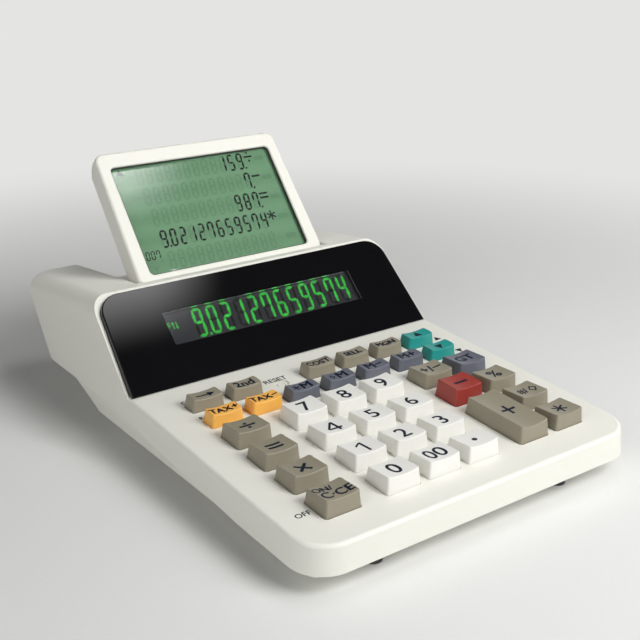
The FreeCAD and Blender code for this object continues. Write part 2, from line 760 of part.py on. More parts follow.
def key_cap(width, depth, front_height, back_height, insets, plungers):
    """Return one key cap in its own frame, with the deck's surface at height zero."""
    side, front, back = insets
    half_x = width / 2.0
    half_y = depth / 2.0
    top = max(front_height, back_height) + KEY_WALL
    reach = top / max(front_height, back_height)
    low = cut_rect(-half_x, half_x, -half_y, half_y, KEY_CORNER, 0.0)
    high = cut_rect(-half_x + side * reach, half_x - side * reach,
                    -half_y + front * reach, half_y - back * reach, KEY_CORNER, top)
    cap = taper(low, high)
    cap = cap.cut(dish(width - 2.0 * side, front_height, back_height,
                       front - half_y, half_y - back))
    skirt = plate(low, SKIRT_BOTTOM)
    flange = box(-half_x - FLANGE_REACH, half_x + FLANGE_REACH,
                 -half_y - FLANGE_REACH, half_y + FLANGE_REACH, -SKIRT_BOTTOM, -FLANGE_TOP)
    cap = cap.multiFuse([skirt, flange])
    pocket_top = min(front_height, back_height) - 2.0 * KEY_WALL
    inner_x = half_x - KEY_WALL
    inner_y = half_y - KEY_WALL
    pocket = taper(rounded_rect(-inner_x, inner_x, -inner_y, inner_y, 0.0, -SKIRT_BOTTOM),
                   rounded_rect(side - inner_x, inner_x - side,
                                front - inner_y, inner_y - back, 0.0, pocket_top))
    cap = cap.cut(pocket)
    posts = []
    for y in plungers:
        posts.append(box(-PLUNGER_SIDE / 2.0, PLUNGER_SIDE / 2.0,
                         y - PLUNGER_SIDE / 2.0, y + PLUNGER_SIDE / 2.0,
                         -PLUNGER_BOTTOM, pocket_top))
    return cap.multiFuse(posts).removeSplitter()


def plunger_offsets(name):
    """Return where a key's plungers stand along its depth."""
    return (-ROW_PITCH / 2.0, ROW_PITCH / 2.0) if name == "key_plus" else (0.0,)


def keys():
    """Return all key caps by name, in place on the deck."""
    big_insets = (KEY_SIDE_INSET, KEY_FRONT_INSET, KEY_BACK_INSET)
    small_insets = (SMALL_KEY_INSET,) * 3
    caps = {}
    for name, x, y, width, depth in key_places():
        if depth > SMALL_KEY_DEPTH:
            cap = key_cap(width, depth, KEY_FRONT_HEIGHT, KEY_BACK_HEIGHT, big_insets,
                          plunger_offsets(name))
        else:
            cap = key_cap(width, depth, SMALL_KEY_HEIGHT, SMALL_KEY_HEIGHT, small_insets, (0.0,))
        cap.translate(Vector(x, y, 0))
        caps[name] = on_deck(cap)
    return caps


def reset_button():
    """Return the small button that a pen tip presses."""
    x, y = reset_place()
    top = -RESET_DISH_DEPTH
    stem = cylinder(RESET_RADIUS, PLUNGER_BOTTOM + top, x, y, -PLUNGER_BOTTOM)
    collar = octagon_bar(RESET_RADIUS + FLANGE_REACH, FLANGE_THICKNESS, x, y, -SKIRT_BOTTOM)
    return on_deck(stem.fuse(collar))


# Mat, board and what is on it


def key_mat():
    """Return the rubber sheet with one contact pad under each plunger."""
    front, back = board_span()
    half = board_half()
    sheet = plate(rounded_rect(-half, half, front, back, 2.0, -MAT_TOP), MAT_THICKNESS)
    places = [reset_place()]
    for name, x, y, width, depth in key_places():
        places += [(x, y + offset) for offset in plunger_offsets(name)]
    pads = []
    heights = [RESET_PAD_HEIGHT] + [PAD_HEIGHT] * (len(places) - 1)
    for (x, y), height in zip(places, heights):
        low = PAD_HALF + height
        pads.append(taper(rounded_rect(x - low, x + low, y - low, y + low, 0.0, -MAT_TOP),
                          rounded_rect(x - PAD_HALF, x + PAD_HALF, y - PAD_HALF, y + PAD_HALF, 0.0,
                                       height - MAT_TOP)))
    sheet = sheet.multiFuse(pads)
    holes = [octagon_bar(BOARD_POST_RADIUS + MAT_GAP, 4.0 * MAT_THICKNESS, x, y,
                         -BOARD_TOP - MAT_THICKNESS) for x, y in board_posts()]
    return on_deck(sheet.cut(holes))


def key_board():
    """Return the circuit board under the mat."""
    front, back = board_span()
    half = board_half()
    sheet = plate(rounded_rect(-half, half, front, back, 2.0, -BOARD_TOP), BOARD_THICKNESS)
    holes = [octagon_bar(BOARD_SCREW_RADIUS + MAT_GAP, 4.0 * BOARD_THICKNESS, x, y,
                         -BOARD_BOTTOM - BOARD_THICKNESS) for x, y in board_posts()]
    return on_deck(sheet.cut(holes))


def board_screws():
    """Return the four screws that hold the board to the deck."""
    screws = []
    for x, y in board_posts():
        head = octagon_bar(2.0 * BOARD_SCREW_RADIUS, BOARD_SCREW_RADIUS, x, y,
                           -BOARD_BOTTOM - BOARD_SCREW_RADIUS)
        length = BOARD_THICKNESS + BOARD_SCREW_LENGTH - 1.0
        shank = octagon_bar(BOARD_SCREW_RADIUS, length, x, y, -BOARD_BOTTOM)
        screws.append(on_deck(head.fuse(shank)))
    return Part.makeCompound(screws)


def board_chips():
    """Return the controller and driver chips soldered under the board."""
    back = board_span()[1]
    low = -BOARD_BOTTOM - CHIP_HEIGHT
    y = back - 1.6 * CHIP_SIZE
    chips = [box(-CHIP_SIZE / 2.0, CHIP_SIZE / 2.0, y, y + CHIP_SIZE, low, -BOARD_BOTTOM)]
    for side in (-1.0, 1.0):
        x = side * 2.2 * CHIP_SIZE
        chips.append(box(x - CHIP_SIZE / 2.0, x + CHIP_SIZE / 2.0, y, y + CHIP_SIZE / 2.0,
                         low, -BOARD_BOTTOM))
    return Part.makeCompound([on_deck(chip) for chip in chips])


# Display panel, window and tube


def display_panel():
    """Return the glossy black slab on the sloped front."""
    slab = plate(panel_outline(0.0, 0.0, 0.0), PANEL_PROUD + PANEL_SUNK)
    opening = plate(window_rect(0.0, 1.0), 3.0 * PANEL_PROUD)
    rebate = plate(window_rect(WINDOW_FLANGE, -WINDOW_THICKNESS), 2.0 * PANEL_PROUD)
    slab = on_slope(slab.cut([opening, rebate]))
    deck_space = on_deck(box(-WIDTH, WIDTH, 0.0, FAR, -FAR / 2.0, PANEL_GAP))
    return slab.cut(deck_space)


def display_window():
    """Return the smoky window, with a flange that sits in the panel's rebate."""
    face = plate(window_rect(-WINDOW_FIT, -WINDOW_FIT), WINDOW_THICKNESS)
    back = PANEL_PROUD + PANEL_SUNK
    flange = plate(window_rect(WINDOW_FLANGE - WINDOW_FIT, -WINDOW_THICKNESS), back - WINDOW_THICKNESS)
    return on_slope(face.fuse(flange))


def tube_front():
    """Return how deep the front of the tube lies behind the panel's face."""
    return PANEL_PROUD + PANEL_SUNK + TUBE_GAP


def display_tube():
    """Return the glass tube that shows the running number."""
    glass = plate(tube_rect(0.0, -tube_front()), TUBE_THICKNESS)
    return on_slope(glass)


def tube_holder():
    """Return the open tray that carries the tube behind the sloped wall."""
    rim = PANEL_PROUD + WALL
    depth = tube_front() + TUBE_THICKNESS + HOLDER_WALL - rim
    tray = plate(tube_rect(TUBE_GAP + HOLDER_WALL, -rim), depth)
    space = plate(tube_rect(TUBE_GAP, -rim + 1.0), depth - HOLDER_WALL + 1.0)
    tray = tray.cut(space)
    ears = []
    for side in (-1.0, 1.0):
        x = side * (TUBE_WIDTH / 2.0 + TUBE_GAP + HOLDER_WALL)
        ears.append(box(min(x, x + side * 6.0), max(x, x + side * 6.0),
                        WINDOW_RISE - 4.0, WINDOW_RISE + 4.0, -rim - HOLDER_WALL, -rim))
    back = -rim - depth
    for x in (-TUBE_WIDTH / 3.0, 0.0, TUBE_WIDTH / 3.0):
        ears.append(box(x - 1.0, x + 1.0, WINDOW_RISE - TUBE_HEIGHT / 2.0,
                        WINDOW_RISE + TUBE_HEIGHT / 2.0, back - HOLDER_WALL, back))
    return on_slope(tray.multiFuse(ears))


# Lid


def lid_outline(grow, y):
    """Return the lid's outline in its upright frame, at a depth behind the face."""
    lean = (LID_BASE_HALF - LID_TOP_HALF) / LID_HEIGHT
    low_half = LID_BASE_HALF + grow + lean * grow
    high_half = LID_TOP_HALF + grow - lean * grow
    corners = ((-low_half, -grow), (low_half, -grow),
               (high_half, LID_HEIGHT + grow), (-high_half, LID_HEIGHT + grow))
    wire = rounded_quad(corners, (LID_CORNER + grow,) * 4, 0.0)
    wire.rotate(Vector(0, 0, 0), Vector(1, 0, 0), 90.0)
    wire.translate(Vector(0, y, 0))
    return wire


def lid_rect(grow, y):
    """Return the outline of the lid's view opening at a depth behind the face."""
    low = LID_VIEW_BOTTOM - grow
    high = LID_VIEW_BOTTOM + LID_VIEW_HEIGHT + grow
    half = LID_VIEW_HALF + grow
    wire = rounded_rect(-half, half, low, high, LID_VIEW_CORNER, 0.0)
    wire.rotate(Vector(0, 0, 0), Vector(1, 0, 0), 90.0)
    wire.translate(Vector(0, y, 0))
    return wire


def slab_back(wire, thickness):
    """Return a slab that runs back from an upright wire."""
    return Part.Face(wire).extrude(Vector(0, thickness, 0))


def lid_body(grow, front, back):
    """Return the lid's solid between two depths, with the rear of its top edge chamfered."""
    body = slab_back(lid_outline(grow, front), back - front)
    corner = LID_HEIGHT + grow
    rear = LID_THICKNESS + grow
    points = [Vector(-WIDTH, rear - LID_CHAMFER_DEPTH, corner), Vector(-WIDTH, rear + 1.0, corner),
              Vector(-WIDTH, rear + 1.0, corner - LID_CHAMFER_HEIGHT),
              Vector(-WIDTH, rear, corner - LID_CHAMFER_HEIGHT)]
    points[0].z = corner + 1.0
    points[1].z = corner + 1.0
    points.insert(0, Vector(-WIDTH, rear - LID_CHAMFER_DEPTH, corner))
    chamfer = Part.Face(polygon(points)).extrude(Vector(2.0 * WIDTH, 0, 0))
    return body.cut(chamfer)


def soft_lid_rim(body, y):
    """Round the outer edge of one face of the lid."""
    def rim(middle, ends):
        return all(abs(p.y - y) < NEAR_ZERO for p in [middle] + ends)

    return round_edges(body, rim, LID_EDGE_ROUND)


def knuckle_space(grow, side):
    """Return the round hinge knuckle at one end of the lid's lower edge."""
    outer = LID_BASE_HALF
    start = side * (outer - KNUCKLE_WIDTH - grow)
    return cylinder(KNUCKLE_RADIUS + grow, KNUCKLE_WIDTH + grow, start, HINGE_DEPTH, 0.0, (side, 0, 0))


def lid_pin_hole(side):
    """Return the cutter for a hinge pin in the lid."""
    start = side * (LID_BASE_HALF - PIN_GRIP - 0.5)
    return cylinder(PIN_RADIUS + PIN_FIT, PIN_GRIP + 1.0, start, HINGE_DEPTH, 0.0, (side, 0, 0))


def lid_frame():
    """Return the front shell of the lid with its view opening."""
    body = soft_lid_rim(lid_body(0.0, 0.0, LID_SPLIT), 0.0)
    space = lid_body(-LID_WALL, LID_REVEAL, LID_SPLIT + 1.0)
    opening = slab_back(lid_rect(0.0, -1.0), LID_REVEAL + 2.0)
    body = body.cut([space, opening])
    for side in (-1.0, 1.0):
        body = body.cut(knuckle_space(LID_FIT, side))
    return on_lid(body)


def lid_board_back():
    """Return the depth of the back of the lid's driver board."""
    return LID_REVEAL + LID_WINDOW_THICKNESS + LID_GLASS_THICKNESS + LID_BOARD_THICKNESS


def board_pads():
    """Return the pads inside the rear shell that press on the driver board."""
    pads = []
    for x in (-LID_VIEW_HALF / 2.0, LID_VIEW_HALF / 2.0):
        for z in (LID_VIEW_BOTTOM + LID_VIEW_HEIGHT / 4.0, LID_VIEW_BOTTOM + 0.7 * LID_VIEW_HEIGHT):
            pads.append(box(x - LID_WALL, x + LID_WALL, lid_board_back(),
                            LID_THICKNESS - LID_WALL / 2.0, z - LID_WALL, z + LID_WALL))
    return pads


def lid_cover():
    """Return the rear shell of the lid, which carries the hinge knuckles."""
    body = soft_lid_rim(lid_body(0.0, LID_SPLIT, LID_THICKNESS), LID_THICKNESS)
    space = lid_body(-LID_WALL, LID_SPLIT - 1.0, LID_THICKNESS - LID_WALL)
    body = body.cut(space)
    knuckles = [knuckle_space(0.0, side) for side in (-1.0, 1.0)]
    body = body.multiFuse(knuckles + board_pads())
    for side in (-1.0, 1.0):
        body = body.cut(lid_pin_hole(side))
    return on_lid(body)


def lid_window():
    """Return the clear sheet behind the lid's view opening."""
    sheet = slab_back(lid_rect(LID_WINDOW_LAP, LID_REVEAL), LID_WINDOW_THICKNESS)
    return on_lid(sheet)


def lid_cell():
    """Return the display glass behind the clear sheet."""
    front = LID_REVEAL + LID_WINDOW_THICKNESS
    return on_lid(slab_back(lid_rect(LID_WINDOW_LAP / 2.0, front), LID_GLASS_THICKNESS))


def lid_board():
    """Return the driver board behind the display glass."""
    front = lid_board_back() - LID_BOARD_THICKNESS
    return on_lid(slab_back(lid_rect(-LID_WINDOW_LAP, front), LID_BOARD_THICKNESS))


def hinge_pins():
    """Return the two pins that the lid turns on."""
    pins = []
    for side in (-1.0, 1.0):
        start = side * (LID_BASE_HALF - PIN_GRIP)
        length = PIN_GRIP + RECESS_SIDE_GAP + WALL + PIN_BOSS_LENGTH / 2.0
        pins.append(cylinder(PIN_RADIUS, length, start, HINGE_Y, HINGE_Z, (side, 0, 0)))
    return Part.makeCompound(pins)


# Lower case, battery bay and what hangs on it


def cover_half():
    """Return half the width of the battery cover."""
    return BAY_HALF + COVER_MARGIN


def cover_profile(grow):
    """Return the front view of the cover with its side tongues, which lie at its inner face."""
    high = PARTING_LEVEL + COVER_THICKNESS + grow
    tongue = PARTING_LEVEL + COVER_THICKNESS - COVER_TONGUE_THICKNESS - grow
    low = PARTING_LEVEL - 10.0 * grow
    half = cover_half() + grow
    reach = half + COVER_TONGUE
    return [(-half, low), (half, low), (half, tongue), (reach, tongue), (reach, high),
            (-reach, high), (-reach, tongue), (-half, tongue)]


def cover_bar(grow, front, back):
    """Return the cover's cross-section run along the depth."""
    wire = polygon([Vector(x, front, z) for x, z in cover_profile(grow)])
    return Part.Face(wire).extrude(Vector(0, back - front, 0))


def cover_front():
    """Return where the cover's front edge lies."""
    return BAY_FRONT - COVER_MARGIN


def cover_notch():
    """Return the space that the cover needs in the cases, open to the rear."""
    return cover_bar(COVER_FIT, cover_front() - COVER_FIT, FAR)


def battery_cover():
    """Return the sliding battery cover, its rear edge in line with the rear wall."""
    bar = cover_bar(0.0, cover_front(), REAR.y + WALL)
    slab = bar.common(across(side_outline(0.0), WIDTH))
    ridges = []
    for index in range(5):
        y = cover_front() + 5.0 + 2.4 * index
        ridges.append(cylinder(0.5, 24.0, -12.0, y, PARTING_LEVEL, (1, 0, 0)))
    return slab.cut(ridges)


def tray_side_view(inset):
    """Return the side view of the tray below the parting line."""
    low = TRAY_FLOOR + inset
    front = TRAY_INSET + inset
    return [(front, FAR), (front, SKIRT_HEIGHT), (TRAY_INSET + TRAY_SLANT_Y, low),
            (TRAY_BACK, low), (TRAY_RISE_END - inset, PARTING_LEVEL), (TRAY_RISE_END - inset, FAR)]


def tray_front_view(inset):
    """Return the front view of the tray as (x, z) points."""
    side = WIDTH / 2.0 - TRAY_INSET - inset
    lean = (PARTING_LEVEL - TRAY_SIDE_HEIGHT) * math.tan(math.radians(2.0 * DRAFT + DRAFT))
    top = side + lean
    low = TRAY_FLOOR + inset
    foot = WIDTH / 2.0 - TRAY_INSET - TRAY_SLANT_X
    slant = SKIRT_HEIGHT
    right = [(foot, low), (side, slant), (side, TRAY_SIDE_HEIGHT), (top, PARTING_LEVEL), (top, FAR)]
    left = [(-x, z) for x, z in reversed(right)]
    return right + left


def tray_body(inset):
    """Return the closed form of the tray, moved in by a wall."""
    front_view = polygon([Vector(x, 0.0, z) for x, z in tray_front_view(inset)])
    bar = Part.Face(front_view).extrude(Vector(0, FAR, 0))
    half = WIDTH / 2.0 - inset
    front = TRAY_INSET + inset
    corner = PLAN_CORNER - front
    corners = ((-half, front), (half, front), (half, FAR), (-half, FAR))
    plan = rounded_quad(corners, (corner, corner, 0.0, 0.0), FAR)
    return bar.common([across(tray_side_view(inset), WIDTH)]).common(plate(plan, FAR))


def below_parting(lift):
    """Return the space under the parting line."""
    high = parting_outline(lift)[:6]
    points = [(-FAR / 4.0, -FAR / 4.0)] + high + [(FAR, -FAR / 4.0)]
    return across(points, WIDTH)


def foot_places():
    """Return the x and y of each foot."""
    return [(side * FOOT_X, y) for side in (-1.0, 1.0) for y in (FOOT_FRONT, FOOT_REAR)]


def rear_plate():
    """Return the level plate that closes the rear housing from below, with its lip."""
    inner = housing_body(WALL + LIP_FIT)
    slab = box(-WIDTH, WIDTH, TRAY_RISE_END - 2.0 * TRAY_WALL, FAR, PARTING_LEVEL,
               PARTING_LEVEL + BASE_PLATE)
    return inner.common(slab)


def case_lip():
    """Return the lip that fits inside the upper case all round."""
    band = housing_body(WALL + LIP_FIT).cut(housing_body(WALL + LIP_FIT + LIP_THICKNESS))
    band = band.common(across(parting_outline(-NEAR_ZERO), WIDTH))
    return band.common(below_parting(LIP_HEIGHT))


def screw_tubes():
    """Return the tubes of the lower case that meet the bosses."""
    radius = SCREW_HEAD_RADIUS + SCREW_FIT * 4.0 + SCREW_TUBE_WALL
    tubes = []
    for x, y, seat in screw_places():
        low = PARTING_LEVEL if y > TRAY_RISE_END else TRAY_FLOOR
        tubes.append(octagon_bar(radius, seat - low, x, y, low))
    return tubes


def screw_bores():
    """Return the cutters for the screw heads and shanks in the lower case."""
    bores = []
    for x, y, seat in screw_places():
        bores.append(octagon_bar(SCREW_HEAD_RADIUS + SCREW_FIT * 4.0, FAR / 4.0, x, y,
                                 seat - SCREW_SHELF - FAR / 4.0))
        bores.append(octagon_bar(SCREW_RADIUS + SCREW_FIT * 4.0, FAR / 4.0, x, y, seat - FAR / 8.0))
    return bores


def lower_case():
    """Return the white lower case with the battery bay."""
    outer = tray_body(0.0).common(below_parting(0.0))
    hollow = tray_body(TRAY_WALL)
    within = housing_body(WALL + LIP_FIT).common(across(parting_outline(-NEAR_ZERO), WIDTH))
    tubes = [tube.common(outer.fuse(within)) for tube in screw_tubes()]
    pads = [octagon_bar(FOOT_PAD_RADIUS, FOOT_PAD_TOP - TRAY_FLOOR, x, y, TRAY_FLOOR)
            for x, y in foot_places()]
    bay = box(-BAY_HALF - BAY_WALL, BAY_HALF + BAY_WALL, BAY_FRONT - BAY_WALL,
              BAY_BACK + BAY_WALL, PARTING_LEVEL, BAY_ROOF + BAY_WALL)
    shell = outer.cut(hollow)
    shell = shell.multiFuse([case_lip(), rear_plate(), bay] + tubes + pads)
    bay_space = box(-BAY_HALF, BAY_HALF, BAY_FRONT, BAY_BACK, -FAR / 8.0, BAY_ROOF)
    divider = box(-BAY_WALL / 2.0, BAY_WALL / 2.0, BAY_FRONT, BAY_BACK, BAY_FLOOR + CELL_RADIUS,
                  BAY_ROOF)
    sockets = [cylinder(FOOT_RADIUS + FOOT_FIT, FOOT_SOCKET, x, y, TRAY_FLOOR)
               for x, y in foot_places()]
    shell = shell.cut([bay_space, cover_notch()] + screw_bores() + sockets)
    return shell.fuse(divider)


def feet():
    """Return the four rubber feet."""
    solids = []
    for x, y in foot_places():
        solids.append(Part.makeCone(FOOT_RADIUS - FOOT_TAPER, FOOT_RADIUS, TRAY_FLOOR + FOOT_SOCKET,
                                    Vector(x, y, 0)))
    return Part.makeCompound(solids)


def case_screws():
    """Return the screws that close the case."""
    screws = []
    for x, y, seat in screw_places():
        head_top = seat - SCREW_SHELF
        head = octagon_bar(SCREW_HEAD_RADIUS, SCREW_HEAD_HEIGHT, x, y, head_top - SCREW_HEAD_HEIGHT)
        shank = octagon_bar(SCREW_RADIUS, SCREW_SHELF + SCREW_BITE, x, y, head_top)
        screws.append(head.fuse(shank))
    return Part.makeCompound(screws)


def cell_places():
    """Return the middle x, y and direction of each battery cell."""
    places = []
    for row in range(2):
        y = BAY_FRONT + CELL_GAP + CELL_RADIUS + row * (2.0 * CELL_RADIUS + CELL_GAP)
        for side in (-1.0, 1.0):
            facing = side if row == 0 else -side
            places.append((side * (BAY_HALF + BAY_WALL / 2.0) / 2.0, y, facing))
    return places


def batteries():
    """Return the four cells with their nubs."""
    z = BAY_FLOOR + CELL_RADIUS
    cells = []
    for x, y, facing in cell_places():
        length = CELL_LENGTH + CELL_NUB_LENGTH
        start = x - facing * length / 2.0
        can = cylinder(CELL_RADIUS, CELL_LENGTH, start, y, z, (facing, 0, 0))
        nub = cylinder(CELL_NUB_RADIUS, length, start, y, z, (facing, 0, 0))
        cells.append(can.fuse(nub))
    return Part.makeCompound(cells)


def battery_contacts():
    """Return the metal plates at both ends of the bay."""
    plates = []
    z = BAY_FLOOR + CELL_RADIUS
    half_z = CELL_RADIUS * 0.7
    for side in (-1.0, 1.0):
        edge = side * BAY_HALF
        x0 = min(edge, edge - side * CONTACT_THICKNESS)
        plates.append(box(x0, x0 + CONTACT_THICKNESS, BAY_FRONT + 2.0, BAY_BACK - 2.0,
                          z - half_z, z + half_z))
    return Part.makeCompound(plates)


def power_jack():
    """Return the round jack that looks out of the rear wall."""
    face = jack_face()
    z = jack_axis_height()
    block = box(JACK_X - JACK_WIDTH / 2.0, JACK_X + JACK_WIDTH / 2.0, face - JACK_LENGTH, face,
                z - JACK_HEIGHT / 2.0, z + JACK_HEIGHT / 2.0)
    nose = cylinder(JACK_NOSE_RADIUS, JACK_NOSE_LENGTH, JACK_X, face, z, (0, 1, 0))
    start = face + JACK_NOSE_LENGTH - JACK_LENGTH
    bore = cylinder(JACK_BORE, JACK_LENGTH, JACK_X, start, z, (0, 1, 0))
    pin = cylinder(JACK_PIN, JACK_LENGTH - 1.0, JACK_X, start, z, (0, 1, 0))
    return block.fuse(nose).cut(bore).fuse(pin)


def pieces():
    """Return every piece by name."""
    found = {
        "upper_case": upper_case(),
        "lower_case": lower_case(),
        "display_panel": display_panel(),
        "display_window": display_window(),
        "display_tube": display_tube(),
        "tube_holder": tube_holder(),
        "lid_frame": lid_frame(),
        "lid_cover": lid_cover(),
        "lid_window": lid_window(),
        "lid_cell": lid_cell(),
        "lid_board": lid_board(),
        "hinge_pins": hinge_pins(),
        "reset_button": reset_button(),
        "key_mat": key_mat(),
        "key_board": key_board(),
        "board_screws": board_screws(),
        "board_chips": board_chips(),
        "battery_cover": battery_cover(),
        "batteries": batteries(),
        "battery_contacts": battery_contacts(),
        "power_jack": power_jack(),
        "feet": feet(),
        "case_screws": case_screws(),
    }
    found.update(keys())
    return found


def main():
    """Build every piece, move the origin under the middle and write the files."""
    os.makedirs("parts", exist_ok=True)
    for name, shape in pieces().items():
        shape.translate(Vector(0, -DEPTH / 2.0, 0))
        shape.exportStep("parts/" + name + ".step")


main()
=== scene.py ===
"""Looks for a desktop calculator with a sloped key field, a glossy display panel and a flip-up lid."""

import json
import logging
import math
from collections.abc import Callable, Iterable, Iterator
from contextlib import contextmanager
from dataclasses import dataclass
from enum import Enum

import bmesh
import bpy
from mathutils import Matrix, Vector


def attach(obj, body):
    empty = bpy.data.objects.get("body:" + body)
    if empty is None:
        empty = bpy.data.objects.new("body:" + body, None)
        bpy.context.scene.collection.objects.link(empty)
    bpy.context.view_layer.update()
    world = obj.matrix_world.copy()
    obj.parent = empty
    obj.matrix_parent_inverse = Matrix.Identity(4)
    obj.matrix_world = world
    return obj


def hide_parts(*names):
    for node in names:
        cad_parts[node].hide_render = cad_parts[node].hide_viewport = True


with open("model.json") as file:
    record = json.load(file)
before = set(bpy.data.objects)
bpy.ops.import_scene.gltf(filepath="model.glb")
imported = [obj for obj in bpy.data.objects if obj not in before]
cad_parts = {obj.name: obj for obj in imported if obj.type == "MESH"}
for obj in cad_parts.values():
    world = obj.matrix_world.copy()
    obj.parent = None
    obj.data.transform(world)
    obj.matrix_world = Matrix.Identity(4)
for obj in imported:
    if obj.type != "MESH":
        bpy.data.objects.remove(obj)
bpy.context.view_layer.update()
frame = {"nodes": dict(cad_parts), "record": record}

log = logging.getLogger("calculator")

Object = bpy.types.Object
Tree = bpy.types.NodeTree
Socket = bpy.types.NodeSocket
Item = bmesh.types.BMVert | bmesh.types.BMEdge | bmesh.types.BMFace
Test = Callable[[Item], bool]
Point = tuple[float, float, float]
HERE = Matrix.Identity(4)


def at(x: float, y: float, z: float = 0.0) -> Matrix:
    """Return a shift along the axes."""
    return Matrix.Translation((x, y, z))


def turned(degrees: float, axis: str = "Z") -> Matrix:
    """Return a turn about an axis."""
    return Matrix.Rotation(math.radians(degrees), 4, axis)


def stretched(x: float, y: float, z: float = 1.0) -> Matrix:
    """Return a stretch along the axes."""
    return Matrix.Diagonal((x, y, z, 1.0))


# Every local frame below is in millimetres, and its matrix takes a mesh to the row frame in metres.
MM = Matrix.Scale(0.001, 4)
LID_LEAN = 40.0
DECK = at(0.0, -0.1185, 0.0188) @ turned(3.2, "X") @ MM
PANEL = at(0.0, 0.0061, 0.025766) @ turned(43.7, "X") @ MM
LID = at(0.0, 0.0529, 0.05338) @ turned(-LID_LEAN, "X") @ at(0.0, -0.004, 0.0) @ MM
UPRIGHT = turned(90.0, "X")

# How near a point lies to a face that it is on, in millimetres.
TOUCH = 0.05


# Mesh tools


def only(obj: Object) -> None:
    """Select one object alone and make it active."""
    bpy.ops.object.select_all(action="DESELECT")
    obj.select_set(True)
    bpy.context.view_layer.objects.active = obj


@contextmanager
def editing(obj: Object, kind: str = "FACE", start: str = "DESELECT") -> Iterator[None]:
    """Hold an object in edit mode.

    Args:
        obj: The object to edit.
        kind: VERT, EDGE or FACE, the select mode.
        start: SELECT to start with everything selected, DESELECT with nothing.
    """
    only(obj)
    bpy.ops.object.mode_set(mode="EDIT")
    bpy.ops.mesh.select_mode(type=kind)
    bpy.ops.mesh.select_all(action=start)
    yield
    bpy.ops.object.mode_set(mode="OBJECT")


def pick(obj: Object, kind: str, test: Test) -> int:
    """Select the faces, edges or vertices of an edited mesh that pass a test, and nothing else.

    Args:
        obj: The object in edit mode.
        kind: VERT, EDGE or FACE.
        test: Says whether an item belongs to the selection.

    Returns:
        How many items were selected.
    """
    bpy.ops.mesh.select_mode(type=kind)
    bpy.ops.mesh.select_all(action="DESELECT")
    mesh = bmesh.from_edit_mesh(obj.data)
    items = {"VERT": mesh.verts, "EDGE": mesh.edges, "FACE": mesh.faces}[kind]
    chosen = [item for item in items if test(item)]
    for item in chosen:
        item.select_set(True)
    bmesh.update_edit_mesh(obj.data)
    return len(chosen)


def middle(item: Item) -> Vector:
    """Return the middle of an edge or a face."""
    if isinstance(item, bmesh.types.BMFace):
        return item.calc_center_median()
    return (item.verts[0].co + item.verts[1].co) / 2.0


def extrude(distance: float) -> None:
    """Extrude the selected faces upwards by a distance."""
    bpy.ops.mesh.extrude_region_move(TRANSFORM_OT_translate={"value": (0.0, 0.0, distance)})


def face_outward() -> None:
    """Turn all the faces of the edited mesh outward."""
    bpy.ops.mesh.select_all(action="SELECT")
    bpy.ops.mesh.normals_make_consistent(inside=False)


def apply_modifier(obj: Object, kind: str, **settings: object) -> None:
    """Add a modifier to an object and apply it.

    Args:
        obj: The object that gets it.
        kind: The modifier's type.
        settings: Its settings by name.
    """
    only(obj)
    modifier = obj.modifiers.new(kind.title(), kind)
    for name, value in settings.items():
        setattr(modifier, name, value)
    bpy.ops.object.modifier_apply(modifier=modifier.name)


def smooth(obj: Object, degrees: float = 35.0) -> None:
    """Shade an object smooth over edges below an angle, with flat faces kept flat.

    Args:
        obj: The object to shade.
        degrees: The angle.
    """
    only(obj)
    bpy.ops.object.shade_smooth_by_angle(angle=math.radians(degrees))
    apply_modifier(obj, "WEIGHTED_NORMAL", keep_sharp=True)


def primitive(operator: Callable[..., object], place: Matrix = HERE, **settings: object) -> Object:
    """Add one of Blender's primitives, with its place in its mesh.

    Args:
        operator: The operator that adds it.
        place: Takes it from the origin to its place.
        settings: The operator's settings.

    Returns:
        The object.
    """
    bpy.ops.object.select_all(action="DESELECT")
    operator(**settings)
    obj = bpy.context.object
    obj.data.transform(place)
    return obj


def copy_of(template: Object, name: str, place: Matrix = HERE) -> Object:
    """Copy an object with its own mesh.

    Args:
        template: The object to copy.
        name: The copy's name.
        place: Takes the template's mesh to its new place.

    Returns:
        The copy.
    """
    obj = bpy.data.objects.new(name, template.data.copy())
    bpy.context.scene.collection.objects.link(obj)
    obj.data.transform(place)
    return obj


def join(name: str, parts: list[Object]) -> Object:
    """Join objects to one.

    Args:
        name: The name of the result.
        parts: The objects, at least one.

    Returns:
        The joined object.
    """
    only(parts[0])
    for part in parts:
        part.select_set(True)
    if len(parts) > 1:
        bpy.ops.object.join()
    parts[0].name = name
    return parts[0]


def drop(*objects: Object) -> None:
    """Remove templates and cutters that have done their work."""
    for obj in objects:
        bpy.data.objects.remove(obj)


def cad_copy(node: str, name: str) -> Object:
    """Copy a CAD node's mesh to a new object with its triangles merged to whole faces.

    Args:
        node: The node's name.
        name: The new object's name.

    Returns:
        The new object.
    """
    obj = copy_of(frame["nodes"][node], name)
    only(obj)
    if obj.data.has_custom_normals:
        bpy.ops.mesh.customdata_custom_splitnormals_clear()
    with editing(obj, "VERT", "SELECT"):
        bpy.ops.mesh.remove_doubles(threshold=2e-6)
        bpy.ops.mesh.dissolve_limited(angle_limit=math.radians(0.4))
    return obj


